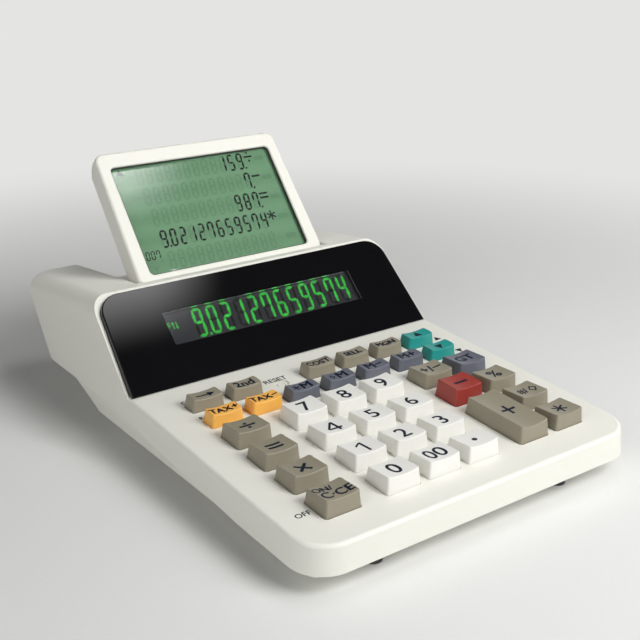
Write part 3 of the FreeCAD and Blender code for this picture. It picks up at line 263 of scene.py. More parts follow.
def rounded_copy(node: str, name: str, place: Matrix, inside: Callable[[Vector], bool],
                 reach: float) -> Object:
    """Copy a CAD node and round the sharp edges that lie in a region.

    Args:
        node: The node's name.
        name: The copy's name.
        place: The matrix of the local frame that the region is given in.
        inside: Says whether a point of that frame lies in the region.
        reach: How far the round reaches from the edge, in millimetres.

    Returns:
        The copy.
    """
    sharp = 0.7
    obj = cad_copy(node, name)
    local = place.inverted()
    with editing(obj, "EDGE"):
        count = pick(obj, "EDGE", lambda edge: all(inside(local @ vert.co) for vert in edge.verts)
                     and len(edge.link_faces) == 2 and edge.calc_face_angle(0.0) > sharp)
        log.info("%s: %d pieces of edge rounded", name, count)
        bpy.ops.mesh.bevel(offset=reach / 1000.0, segments=3, profile=0.5)
    return obj


# Materials


def linear(code: str) -> tuple[float, float, float, float]:
    """Turn an sRGB hex colour of six digits into Blender's linear red, green, blue and alpha."""
    values = [int(code[i:i + 2], 16) / 255.0 for i in (0, 2, 4)]
    return (*(v / 12.92 if v <= 0.04045 else ((v + 0.055) / 1.055) ** 2.4 for v in values), 1.0)


def add_node(tree: Tree, kind: str, settings: dict[str | int, object],
             links: dict[str | int, Socket] | None = None) -> bpy.types.Node:
    """Add a shader node.

    Args:
        tree: The node tree.
        kind: The node's type without its ShaderNode prefix.
        settings: Values by the name of a node property or of an input.
        links: Output sockets by the name or number of the input they feed.

    Returns:
        The node.
    """
    node = tree.nodes.new("ShaderNode" + kind)
    for name, value in settings.items():
        if isinstance(name, str) and name.islower():
            setattr(node, name, value)
        else:
            node.inputs[name].default_value = value
    for name, socket in (links or {}).items():
        tree.links.new(socket, node.inputs[name])
    return node


def blank_material(name: str, sockets: Iterable[tuple[str, object]]) -> tuple[
        bpy.types.Material, Tree, bpy.types.Node]:
    """Start a material that holds one Principled shader.

    Args:
        name: The material's name.
        sockets: Values that are the same all over the surface, on the shader's own sockets.

    Returns:
        The material, its node tree and the shader.
    """
    material = bpy.data.materials.new(name)
    material.use_nodes = True
    tree = material.node_tree
    tree.nodes.clear()
    shader = add_node(tree, "BsdfPrincipled", dict(sockets))
    add_node(tree, "OutputMaterial", {}, {"Surface": shader.outputs["BSDF"]})
    return material, tree, shader


@dataclass(frozen=True)
class Finish:
    """A surface whose colour, gloss and relief vary over one grain.

    Attributes:
        name: What the real material is.
        color: Its main sRGB colour.
        shade: The sRGB colour its grain turns to.
        grain: The grain's size in millimetres.
        roughness: The roughness at the grain's two ends.
        relief: The height of the grain in millimetres.
        sockets: Values that are the same all over the surface.
        detail: How many finer octaves the grain has.
        feeds: The shader's input that the colour goes to.
    """

    name: str
    color: str
    shade: str
    grain: float
    roughness: tuple[float, float]
    relief: float = 0.0
    sockets: tuple[tuple[str, object], ...] = ()
    detail: float = 3.0
    feeds: str = "Base Color"

    def build(self) -> bpy.types.Material:
        """Return the material, made once."""
        known = bpy.data.materials.get(self.name)
        if known:
            return known
        low, high = self.roughness
        material, tree, shader = blank_material(self.name, (("Roughness", low), *self.sockets))
        place = add_node(tree, "TexCoord", {})
        grain = add_node(tree, "TexNoise", {"Scale": 1000.0 / self.grain, "Detail": self.detail},
                         {"Vector": place.outputs["Object"]}).outputs["Fac"]
        mix = add_node(tree, "Mix", {"data_type": "RGBA", 6: linear(self.color), 7: linear(self.shade)},
                       {0: grain})
        tree.links.new(mix.outputs[2], shader.inputs[self.feeds])
        if low != high:
            gloss = add_node(tree, "MapRange", {"To Min": low, "To Max": high}, {"Value": grain})
            tree.links.new(gloss.outputs["Result"], shader.inputs["Roughness"])
        if self.relief:
            bump = add_node(tree, "Bump", {"Distance": self.relief / 1000.0, "Strength": 1.0},
                            {"Height": grain})
            tree.links.new(bump.outputs["Normal"], shader.inputs["Normal"])
        return material


@dataclass(frozen=True)
class DisplayGlass:
    """The reflective green cell of a liquid crystal display, under two polished clear sheets.

    The coat's high IOR stands for the reflections of all the polished faces together.

    Attributes:
        name: The material's name.
        color: The sRGB colour along a row of figures.
        band: The sRGB colour between the rows.
        rows: The pitch of the rows in millimetres.
        phase: Shifts the bands on to the rows, in radians.
    """

    name: str
    color: str
    band: str
    rows: float = 10.7
    phase: float = 0.21

    def build(self) -> bpy.types.Material:
        """Return the material."""
        material, tree, shader = blank_material(self.name, (
            ("Coat Weight", 1.0), ("Coat Roughness", 0.03), ("Coat IOR", 2.0), ("Roughness", 0.5),
            ("Specular IOR Level", 0.1)))
        place = add_node(tree, "TexCoord", {})
        level = add_node(tree, "Mapping", {"Rotation": (math.radians(LID_LEAN), 0.0, 0.0)},
                         {"Vector": place.outputs["Object"]})
        # A wave texture repeats every 2 pi / 20 of its unit.
        scale = 2.0 * math.pi / (20.0 * self.rows / 1000.0)
        settings = {"bands_direction": "Z", "Scale": scale, "Phase Offset": self.phase}
        bands = add_node(tree, "TexWave", settings, {"Vector": level.outputs["Vector"]})
        mix = add_node(tree, "Mix", {"data_type": "RGBA", 6: linear(self.color), 7: linear(self.band)},
                       {0: bands.outputs["Fac"]})
        tree.links.new(mix.outputs[2], shader.inputs["Base Color"])
        return material


DULL = (("Specular IOR Level", 0.2),)
METAL = (("Metallic", 1.0),)


class Ink(Enum):
    """The printed inks: flat, with hardly any gloss."""

    KEY = Finish("Pad print ink, navy", "06172D", "051326", 0.8, (0.45, 0.55), 0.0, DULL)
    DECK = Finish("Pad print ink, black", "141618", "1C1E20", 0.8, (0.4, 0.5), 0.0, DULL)


class Phosphor(Enum):
    """Zinc-oxide phosphor of a fluorescent tube: lit it glows green, unlit it is a dull grey coat."""

    LIT = Finish("Zinc oxide phosphor, lit", "32E63C", "1F3A2A", 1.1111, (0.7, 0.7), 0.0,
                 (("Base Color", linear("1F3A2A")), ("Emission Strength", 2.6)), 1.0, "Emission Color")
    UNLIT = Finish("Zinc oxide phosphor, unlit", "1A1D1C", "1A1D1C", 1.1111, (0.7, 0.7))


class Shell(Enum):
    """Injection-moulded ABS of the case and the keys.

    The case has a fine spark grain that only softens its gloss; it is drawn at 0.6 mm, three times its
    real size, so that it still shows. The keys are smooth, with a satin gloss on their edges.
    """

    CASE = Finish("ABS, warm white, spark grain", "F1F0E7", "ECEBE1", 0.6, (0.36, 0.50), 0.010)
    WHITE = Finish("ABS key, white", "F4F3EE", "EFEEE8", 1.2, (0.30, 0.40), 0.003)
    TAUPE = Finish("ABS key, taupe", "98917F", "928B79", 1.2, (0.32, 0.42), 0.003)
    ORANGE = Finish("ABS key, orange", "FDBE5C", "F7B654", 1.2, (0.32, 0.42), 0.003)
    SLATE = Finish("ABS key, slate", "6A6D78", "656873", 1.2, (0.32, 0.42), 0.003)
    TEAL = Finish("ABS key, teal", "229B94", "1E948D", 1.2, (0.32, 0.42), 0.003)
    RED = Finish("ABS key, red", "A03A31", "99362D", 1.2, (0.32, 0.42), 0.003)


# What the CAD nodes of each material slot are made of, and how that looks.
INNER = {
    # Black moulding compound: dull, with a faint grey bloom.
    "inner_black": Finish("ABS, black, moulded", "1A1A1C", "242426", 1.5, (0.45, 0.6), 0.006),
    # Float glass over a dark grid: nearly black, with a sharp gloss.
    "tube_glass": Finish("Float glass over dark grid", "4A4B50", "3C3D42", 0.7, (0.3, 0.4), 0.0,
                         (("Coat Weight", 0.6), ("Coat Roughness", 0.04))),
    # Laminate under solder mask: green, glossy, with the weave faintly through it.
    "board_green": Finish("Glass laminate, green mask", "2F6B45", "2A6040", 1.0, (0.25, 0.4), 0.01),
    # Steel with zinc: bright, slightly cloudy.
    "steel": Finish("Steel, zinc plated", "B9BBBE", "A9ABB0", 0.9, (0.24, 0.36), 0.004, METAL),
    # Silicone rubber: pale grey, matt.
    "mat_grey": Finish("Silicone rubber, grey", "8A8C8E", "828486", 2.0, (0.6, 0.75), 0.01),
    # Shrunk sleeve on a cell: dark, semi-gloss.
    "cell_jacket": Finish("PVC sleeve, dark grey", "3A3D40", "34373A", 3.0, (0.2, 0.3), 0.01),
    # Nickel on spring steel: bright with a warm tint.
    "contact_metal": Finish("Spring steel, nickel plated", "C9C9C4", "BDBDB7", 0.8, (0.16, 0.26), 0.003,
                            METAL),
    # Thermoplastic rubber: near black and matt, with a dusty bloom.
    "foot_grey": Finish("Rubber, charcoal", "343436", "404042", 1.4, (0.65, 0.85), 0.015),
    # Polished acrylic: deep black that mirrors the room, with wipe marks that only touch the gloss.
    "panel_black": Finish("Acrylic, black, polished", "08080A", "0B0B0E", 14.0, (0.035, 0.07), 0.0,
                          (("Specular IOR Level", 0.5),)),
    # Smoked acrylic: a clear grey tint with the panel's own gloss.
    "window_smoke": Finish("Acrylic, smoked, polished", "B4B4B8", "AEAEB2", 16.667, (0.02, 0.02), 0.0,
                           (("Transmission Weight", 1.0), ("IOR", 1.49)), 2.0),
    # Clear acrylic: barely tinted, with a polished face.
    "lid_clear": Finish("Acrylic, clear, polished", "A8AEA8", "A2A9A3", 25.0, (0.03, 0.03), 0.0,
                        (("Alpha", 0.02),), 1.0),
}


def dress(obj: Object, finish: Finish | DisplayGlass) -> None:
    """Give an object one finish in all its slots.

    Args:
        obj: The object.
        finish: The finish.
    """
    material = finish.build()
    if not obj.data.materials:
        obj.data.materials.append(material)
    for slot in obj.material_slots:
        slot.material = material


def settle(obj: Object, finish: Finish | DisplayGlass, body: str, slot: str, *nodes: str) -> None:
    """Dress a finished piece and hand it over to the frame.

    Args:
        obj: The piece, in place.
        finish: Its finish.
        body: The body it rides on.
        slot: The record's material slot; not used.
        nodes: The CAD nodes it replaces.
    """
    dress(obj, finish)
    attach(obj, body)
    if nodes:
        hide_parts(*nodes)
    log.info("piece %s rides on %s", obj.name, body)


# Flat shapes and lettering, in millimetres


def polygon(sides: int, radius: float, place: Matrix = HERE) -> Object:
    """Return a flat filled polygon with a corner straight above its middle."""
    circle = bpy.ops.mesh.primitive_circle_add
    return primitive(circle, place, vertices=sides, radius=radius, fill_type="NGON")


def bar(length: float, width: float, x: float = 0.0, y: float = 0.0, turn: float = 0.0) -> Object:
    """Return a flat bar with its middle at a place, turned by some degrees."""
    place = at(x, y) @ turned(turn) @ stretched(length, width)
    return primitive(bpy.ops.mesh.primitive_plane_add, place, size=1.0)


def triangle(reach: float, turn: float, x: float = 0.0, y: float = 0.0) -> Object:
    """Return a flat triangle with its middle at a place, which points up when its turn is 0."""
    return polygon(3, reach, at(x, y) @ turned(turn))


def dot(radius: float, x: float = 0.0, y: float = 0.0) -> Object:
    """Return a flat round dot."""
    return polygon(20, radius, at(x, y))


def extrude_edge(obj: Object, spot: Vector, distance: Vector, within: float) -> None:
    """Extrude the edge of a flat shape whose middle is at a spot.

    Args:
        obj: The flat shape.
        spot: Where the edge's middle is.
        distance: How far and which way it goes.
        within: How far the middle may be from the spot.
    """
    with editing(obj, "EDGE"):
        if pick(obj, "EDGE", lambda edge: (middle(edge) - spot).length < within):
            bpy.ops.mesh.extrude_edges_move(TRANSFORM_OT_translate={"value": distance})


def arms(count: int, reach: float, width: float, place: Matrix = HERE) -> Object:
    """Return a flat sign with equal arms, such as a plus or a star.

    Args:
        count: How many arms it has.
        reach: The distance from the middle to an arm's end.
        width: An arm's width.
        place: Takes it from the origin to its place.
    """
    inner = width / 2.0 / math.tan(math.pi / count)
    obj = polygon(count, width / 2.0 / math.sin(math.pi / count), turned(180.0 / count))
    for index in range(count):
        aim = turned(360.0 * index / count) @ Vector((0.0, 1.0, 0.0))
        extrude_edge(obj, aim * inner, aim * (reach - inner), width * 0.1)
    with editing(obj):
        face_outward()
    obj.data.transform(place)
    return obj


def diamond(reach: float, width: float, x: float, y: float) -> Object:
    """Return an open diamond, a little narrower than high.

    Args:
        reach: The distance from its middle to its top corner.
        width: The width of its line.
        x: The middle's place to the right.
        y: The middle's place up.
    """
    narrowing = 0.8
    obj = polygon(4, reach)
    with editing(obj, "FACE", "SELECT"):
        bpy.ops.mesh.inset(thickness=width)
        bpy.ops.mesh.delete(type="FACE")
    obj.data.transform(at(x, y) @ stretched(narrowing, 1.0))
    return obj


# Letters whose narrow notches would fill if their outline were moved out; they are doubled instead.
NOTCHED = set("AEKMNX%#")


def words(text: str, size: float, x: float = 0.0, y: float = 0.0, weight: float = 0.1) -> Object:
    """Return flat words with their middle at a place.

    Args:
        text: The words.
        size: The font size.
        x: The place to the right.
        y: The place up.
        weight: How much bolder than the font the words are, on every side.
    """
    doubled = bool(set(text) & NOTCHED)
    settings = {"body": text, "size": size, "offset": 0.0 if doubled else weight, "resolution_u": 4,
                "align_x": "CENTER", "align_y": "CENTER"}
    bpy.ops.object.select_all(action="DESELECT")
    bpy.ops.object.text_add()
    for name, value in settings.items():
        setattr(bpy.context.object.data, name, value)
    bpy.ops.object.convert(target="MESH")
    plain = bpy.context.object
    sides = ((-1.5, -0.8), (1.5, 0.8)) if doubled else ((0.0, 0.0),)
    obj = join("words", [copy_of(plain, "words", at(x + weight * a, y + weight * b)) for a, b in sides])
    drop(plain)
    return obj


def one(height: float, width: float) -> Object:
    """Return a flat figure one with a flag, drawn from the top of its stem."""
    top = (height - width) / 2.0
    obj = bar(width, width, width, top)
    within = 0.1 * width
    extrude_edge(obj, Vector((width, top - width / 2.0, 0.0)), Vector((0.0, width - height, 0.0)), within)
    extrude_edge(obj, Vector((width / 2.0, top, 0.0)), Vector((-2.6 * width, -1.9 * width, 0.0)), within)
    with editing(obj):
        face_outward()
    return obj


def four(height: float, width: float) -> list[Object]:
    """Return the three bars of a flat figure four."""
    stem, left, cross = 0.18 * height, -0.41 * height, -0.24 * height
    run, rise = stem - left, height / 2.0 - cross
    slope = bar(math.hypot(run, rise), width * 0.9, (stem + left) / 2.0, cross + rise / 2.0,
                math.degrees(math.atan2(rise, run)))
    return [bar(width, height, stem, 0.0), bar(0.8 * height, width, 0.0, cross), slope]


def thicken(parts: Iterable[Object], depth: float) -> None:
    """Give flat shapes a thickness below their plane.

    Args:
        parts: The flat shapes.
        depth: The thickness.
    """
    for part in parts:
        with editing(part, "FACE", "SELECT"):
            extrude(-depth)
            face_outward()


# The width of the lines in the large signs.
LINE = 1.2

# The shapes printed on each key, drawn about the middle of its top.
LEGENDS: dict[str, Callable[[], list[Object]]] = {
    "key_1": lambda: [one(7.4, 1.0)],
    "key_divide": lambda: [bar(6.8, LINE), dot(0.75, 0.0, 1.9), dot(0.75, 0.0, -1.9)],
    "key_multiply": lambda: [arms(4, 3.4, LINE, turned(45.0))],
    "key_equals": lambda: [bar(6.4, LINE, 0.0, 1.25), bar(6.4, LINE, 0.0, -1.25)],
    "key_4": lambda: four(7.4, 1.05),
    "key_minus": lambda: [bar(6.8, 1.3)],
    "key_plus": lambda: [arms(4, 3.4, LINE)],
    "key_total": lambda: [arms(6, 3.2, 0.85)],
    "key_point": lambda: [dot(1.1)],
    "key_backspace": lambda: [bar(5.6, 0.75, -1.0), triangle(1.9, -90.0, 2.4)],
    "key_up": lambda: [triangle(2.4, 0.0)],
    "key_down": lambda: [triangle(2.4, 180.0)],
    "key_memory_total": lambda: [arms(6, 1.9, 0.5, at(-2.9, 0.0)), words("M", 6.6, 1.9, weight=0.15)],
    "key_memory_subtotal": lambda: [diamond(1.7, 0.5, -3.3, 0.0), words("M", 6.6, 1.5, weight=0.15)],
    "key_subtotal": lambda: [words("#/", 6.0, -1.8), diamond(2.4, 0.6, 3.6, -0.2)],
    "key_clear": lambda: [words("ON/", 4.4, -3.0, 2.8), words("C·CE", 6.1, 0.3, -1.7, 0.14)],
}
# Letters up to this size are printed bolder than the figures, which are larger.
FIGURE_SIZE = 8.5
PLAIN_WORDS = {"key_" + digit: (digit, 10.2) for digit in "02356789"} | {
    "key_00": ("00", 9.6), "key_percent": ("%", 8.4), "key_sign": ("+/−", 8.0),
    "key_grand_total": ("GT", 7.2), "key_tax_plus": ("TAX+", 4.9), "key_tax_minus": ("TAX−", 4.9),
    "key_second": ("2nd", 6.0), "key_cost": ("COST", 4.5), "key_sell": ("SELL", 4.5),
    "key_margin": ("MGN", 4.5), "key_memory_minus": ("M−", 6.6), "key_memory_plus": ("M+", 6.6),
}


# Keyboard


# The least cosine of a face that counts as level.
LEVEL = 0.99


@dataclass
class KeyCap:
    """One moulded key cap: tapered, hollowed along its depth, with a skirt, a flange and plungers.

    Attributes:
        width: The cap's width at the deck.
        depth: The cap's depth at the deck.
        front_height: The height of the top's front corners over the deck.
        back_height: The height of the top's rear corners over the deck.
        side_inset: How far each side leans in.
        front_inset: How far the front leans in.
        back_inset: How far the rear leans in.
        plungers: Where the plungers stand along the depth.
        dish_radius: The radius of the dish in its top.
        corner: The round of its upright corners.
        rim: The round of its top's edge.
        wall: How thick it is.
        flange: The width and the height of the flange under the deck.
        skirt_bottom: The height of the flange's underside.
        plunger_side: The width of a plunger.
        plunger_bottom: The height of a plunger's foot.
    """

    width: float
    depth: float
    front_height: float
    back_height: float
    side_inset: float
    front_inset: float
    back_inset: float
    plungers: tuple[float, ...] = (0.0,)
    dish_radius: float = 30.0
    corner: float = 0.85
    rim: float = 0.36
    wall: float = 1.3
    flange: float = 1.0
    skirt_bottom: float = -3.5
    plunger_side: float = 4.0
    plunger_bottom: float = -6.3

    def body(self) -> Object:
        """Return the tapered cap with its skirt and flange, solid and without its dish."""
        foot = stretched(self.width + 2.0 * self.flange, self.depth + 2.0 * self.flange, self.flange)
        place = at(0.0, 0.0, self.skirt_bottom + self.flange / 2.0) @ foot
        obj = primitive(bpy.ops.mesh.primitive_cube_add, place, size=1.0)
        # The top is made one wall too high, for the dish to cut, and leans in that much further.
        reach = (self.front_height + self.wall) / self.front_height
        wide = 1.0 - 2.0 * self.side_inset * reach / self.width
        deep = 1.0 - (self.front_inset + self.back_inset) * reach / self.depth
        longer_than = 1.5
        with editing(obj):
            pick(obj, "FACE", lambda face: face.normal.z > LEVEL)
            bpy.ops.mesh.inset(thickness=self.flange)
            extrude(-self.skirt_bottom - self.flange)
            extrude(self.front_height + self.wall)
            pick(obj, "FACE", lambda face: face.normal.z > LEVEL and middle(face).z > self.wall)
            bpy.ops.transform.resize(value=(wide, deep, 1.0))
            bpy.ops.transform.translate(value=(0.0, (self.front_inset - self.back_inset) * reach / 2.0, 0.0))
            pick(obj, "EDGE", lambda edge: abs(edge.verts[0].co.z - edge.verts[1].co.z) > longer_than
                 and middle(edge).z > self.skirt_bottom + self.flange)
            bpy.ops.mesh.bevel(offset=self.corner, segments=4, profile=0.5)
        return obj

    def hollow(self, obj: Object) -> None:
        """Cut the pocket into a cap's underside and leave its plungers standing."""
        ceiling = min(self.front_height, self.back_height) - 2.0 * self.wall
        tolerance = 0.01

        def over(face: Item) -> bool:
            """Say whether a face belongs to the pocket's ceiling."""
            return face.normal.z < -LEVEL and abs(middle(face).z - ceiling) < tolerance

        with editing(obj):
            pick(obj, "FACE", lambda face: face.normal.z < -LEVEL)
            bpy.ops.mesh.inset(thickness=self.flange + self.wall + self.side_inset)
            extrude(ceiling - self.skirt_bottom)
            if len(self.plungers) > 1:
                pick(obj, "FACE", over)
                bpy.ops.mesh.bisect(plane_co=(0.0, 0.0, 0.0), plane_no=(0.0, 1.0, 0.0))
            for y in self.plungers:
                pick(obj, "FACE", lambda face: over(face) and (y == 0.0 or middle(face).y * y > 0.0))
                bpy.ops.mesh.inset(thickness=0.5)
                self.shape_plunger(obj, y, ceiling)

    def shape_plunger(self, obj: Object, y: float, ceiling: float) -> None:
        """Turn the selected ceiling face into a plunger.

        Args:
            obj: The cap in edit mode.
            y: Where the plunger stands.
            ceiling: The height of the pocket's ceiling.
        """
        verts = [vert for vert in bmesh.from_edit_mesh(obj.data).verts if vert.select]
        low = Vector([min(vert.co[i] for vert in verts) for i in range(3)])
        high = Vector([max(vert.co[i] for vert in verts) for i in range(3)])
        size, center = high - low, (high + low) / 2.0
        bpy.ops.transform.resize(value=(self.plunger_side / size.x, self.plunger_side / size.y, 1.0))
        bpy.ops.transform.translate(value=(-center.x, y - center.y, 0.0))
        extrude(self.plunger_bottom - ceiling)

    def build(self) -> Object:
        """Return the finished cap about the origin, with the deck's surface at height zero."""
        obj = self.body()
        self.hollow(obj)
        half = self.width / 2.0 - self.side_inset
        sag = self.dish_radius - math.sqrt(self.dish_radius ** 2 - half ** 2)
        run = self.depth - self.front_inset - self.back_inset
        tilt = math.degrees(math.atan2(self.back_height - self.front_height, run))
        front = at(0.0, self.front_inset - self.depth / 2.0, self.front_height - sag + self.dish_radius)
        dish = primitive(bpy.ops.mesh.primitive_cylinder_add, front @ turned(tilt + 90.0, "X"), vertices=288,
                         radius=self.dish_radius, depth=4.0 * self.depth)
        apply_modifier(obj, "BOOLEAN", operation="DIFFERENCE", object=dish, solver="EXACT")
        drop(dish)
        pocket, top, side = 2.0, 0.8, 0.6
        with editing(obj, "EDGE"):
            pick(obj, "EDGE", lambda edge: len(edge.link_faces) == 2 and middle(edge).z > pocket
                 and max(face.normal.z for face in edge.link_faces) > top
                 and min(face.normal.z for face in edge.link_faces) < side)
            bpy.ops.mesh.bevel(offset=self.rim, segments=3, profile=0.5, clamp_overlap=False)
        smooth(obj, 40.0)
        return obj


class Cap(Enum):
    """The shapes of key cap: a stepped profile, whose tops rise towards the back rows."""

    BIG = KeyCap(15.25, 13.0, 6.9, 5.7, 0.6, 0.9, 0.6)
    RAISED = KeyCap(15.25, 13.0, 6.9, 6.4, 0.6, 0.9, 0.6)
    UPRIGHT = KeyCap(15.25, 13.0, 6.6, 5.6, 0.6, 0.6, 0.5)
    MINUS = KeyCap(15.25, 13.0, 7.2, 7.3, 0.6, 0.9, 0.5, dish_radius=45.0)
    TALL = KeyCap(15.25, 31.07, 6.9, 6.9, 0.6, 0.9, 0.5, (-9.035, 9.035))
    SMALL = KeyCap(14.3, 7.8, 5.4, 5.4, 0.6, 0.6, 0.6)


# The keys whose tops differ from the rest of their row.
OWN_CAPS = dict.fromkeys(("7", "8", "9"), Cap.RAISED) | {"minus": Cap.MINUS} | dict.fromkeys(
    ("sign", "grand_total", "percent", "subtotal", "total"), Cap.UPRIGHT)


# The letter that stands for each shell in the table of keys.
LETTERS = {"w": Shell.WHITE, "t": Shell.TAUPE, "o": Shell.ORANGE, "s": Shell.SLATE, "g": Shell.TEAL,
           "r": Shell.RED}


@dataclass(frozen=True)
class Key:
    """One key: its name, its cap, its place on the deck and its shell."""

    name: str
    cap: Cap
    x: float
    y: float
    shell: Shell


@dataclass
class Keyboard:
    """All key caps with their legends, on the deck."""

    big_columns: tuple[float, ...] = (-55.35, -28.875, -9.625, 9.625, 36.1, 55.35)
    small_pitch: float = 18.45
    rows: tuple[float, ...] = (20.97, 39.04, 57.11, 75.18, 91.58, 106.18)

    def keys(self) -> Iterator[Key]:
        """Give every key in place.

        A row of the table holds the keys' names, each with the letter of its shell, or none for a gap.
        """
        big, rows = self.big_columns, self.rows
        small = [big[0] + self.small_pitch * i for i in range(7)]
        table = (
            (Cap.BIG, rows[0], big, "clear:t 0:w 00:w point:w none total:t"),
            (Cap.BIG, rows[1], big, "multiply:t 1:w 2:w 3:w none subtotal:t"),
            (Cap.TALL, (rows[0] + rows[1]) / 2.0, big[4:5], "plus:t"),
            (Cap.BIG, rows[2], big, "equals:t 4:w 5:w 6:w minus:r percent:t"),
            (Cap.BIG, rows[3], big, "divide:t 7:w 8:w 9:w sign:t grand_total:s"),
            (Cap.SMALL, rows[4], small,
             "tax_plus:o tax_minus:o memory_total:s memory_subtotal:s memory_minus:s memory_plus:s down:g"),
            (Cap.SMALL, rows[5], small, "backspace:t second:t none cost:t sell:t margin:t up:g"),
        )
        for cap, y, columns, row in table:
            for x, entry in zip(columns, row.split()):
                name, _, letter = entry.partition(":")
                if letter:
                    yield Key("key_" + name, OWN_CAPS.get(name, cap), x, y, LETTERS[letter])

    def legend(self, key: Key, template: Object) -> Object:
        """Return a key's print, laid on its dished top.

        Args:
            key: The key.
            template: The key's cap about the origin.
        """
        if key.name in LEGENDS:
            parts = LEGENDS[key.name]()
        else:
            text, size = PLAIN_WORDS[key.name]
            parts = [words(text, size, weight=0.1 if size > FIGURE_SIZE else 0.15)]
        obj = join("print_" + key.name, parts)
        with editing(obj, "FACE", "SELECT"):
            bpy.ops.mesh.quads_convert_to_tris()
            for x in range(-6, 7):
                bpy.ops.mesh.select_all(action="SELECT")
                bpy.ops.mesh.bisect(plane_co=(x, 0.0, 0.0), plane_no=(1.0, 0.0, 0.0))
        ink, forward, above = 0.05, -0.3, 12.0
        obj.data.transform(at(0.0, forward, above))
        apply_modifier(obj, "SHRINKWRAP", target=template, wrap_method="PROJECT", use_project_x=False,
                       use_project_y=False, use_project_z=True, use_negative_direction=True,
                       use_positive_direction=False, offset=ink)
        apply_modifier(obj, "SOLIDIFY", thickness=ink, offset=-1.0)
        return obj

    def build(self) -> None:
        """Build all keys and hand them over."""
        templates = {cap: cap.value.build() for cap in Cap}
        for key in self.keys():
            place = DECK @ at(key.x, key.y)
            slot = "key_" + key.shell.name.lower()
            cap = copy_of(templates[key.cap], "cap_" + key.name, place)
            settle(cap, key.shell.value, key.name, slot, key.name)
            legend = self.legend(key, templates[key.cap])
            legend.data.transform(place)
            settle(legend, Ink.KEY.value, key.name, slot)
        drop(*templates.values())


# Displays

# The bars of each figure: a is the top one, b to f follow clockwise, and g is in the middle.
FIGURES = {" ": "", "0": "abcdef", "1": "bc", "2": "abdeg", "3": "abcdg", "4": "bcfg", "5": "acdfg",
           "6": "acdefg", "7": "abcf", "8": "abcdefg", "9": "abcdfg"}


@dataclass(frozen=True)
class SegmentFace:
    """Seven-segment figures on a flat display.

    Attributes:
        width: The width between the middles of a figure's upright bars.
        height: The height between the middles of its top and bottom bars.
        stroke: The width of a bar.
        gap: The space between two bars.
        pitch: The distance between figures.
        slant: The lean to the right in degrees.
        thickness: How thick a bar is.
    """

    width: float
    height: float
    stroke: float
    gap: float
    pitch: float
    slant: float
    thickness: float = 0.04

    def segment(self, length: float) -> Object:
        """Return a bar with pointed ends, lying along X about the origin."""
        obj = polygon(6, self.stroke / 2.0)
        with editing(obj, "VERT"):
            for side in (-1.0, 1.0):
                pick(obj, "VERT", lambda vert: vert.co.x * side > 0.0)
                bpy.ops.transform.translate(value=(side * (length - self.stroke) / 2.0, 0.0, 0.0))
            bpy.ops.mesh.select_all(action="SELECT")
            bpy.ops.transform.resize(value=(1.0, 2.0 / math.sqrt(3.0), 1.0))
        thicken([obj], self.thickness)
        return obj

    def figures(self, name: str, text: str, x: float, y: float, lit: bool) -> Object:
        """Return a row of figures as one mesh in the display's plane.

        Args:
            name: The object's name.
            text: The figures, with a point after the one it belongs to.
            x: The middle of the first figure.
            y: The middle of the row.
            lit: Whether to draw the bars that show, or those that don't.
        """
        flat = self.segment(self.width - self.gap)
        tall = self.segment(self.height / 2.0 - self.gap)
        half, up, upright = self.width / 2.0, self.height / 4.0, turned(90.0)
        bars = {"a": (flat, at(0.0, 2.0 * up)), "g": (flat, HERE), "d": (flat, at(0.0, -2.0 * up)),
                "b": (tall, at(half, up) @ upright), "c": (tall, at(half, -up) @ upright),
                "e": (tall, at(-half, -up) @ upright), "f": (tall, at(-half, up) @ upright)}
        lean = Matrix.Identity(4)
        lean[0][1] = math.tan(math.radians(self.slant))
        parts = []
        cell = -1
        for figure in text:
            cell += figure != "."
            place = at(x + cell * self.pitch, y) @ lean
            if figure != ".":
                parts += [copy_of(template, "bar", place @ spot) for letter, (template, spot) in bars.items()
                          if (letter in FIGURES[figure]) == lit]
            elif lit:
                side = self.pitch / 2.0 + self.stroke * 0.1
                parts.append(polygon(6, self.stroke * 0.55, place @ at(side, -2.0 * up)))
                thicken(parts[-1:], self.thickness)
        drop(flat, tall)
        return join(name, parts)


def rounded_bar(length: float, width: float, x: float, y: float, corner: float, steps: int) -> Object:
    """Return a flat bar with rounded corners.

    Args:
        length: Its length.
        width: Its width.
        x: The middle's place to the right.
        y: The middle's place up.
        corner: The reach of the round at a corner.
        steps: How many facets the round has.
    """
    obj = bar(length, width, x, y)
    with editing(obj, "VERT", "SELECT"):
        bpy.ops.mesh.bevel(offset=corner, affect="VERTICES", segments=steps)
    return obj


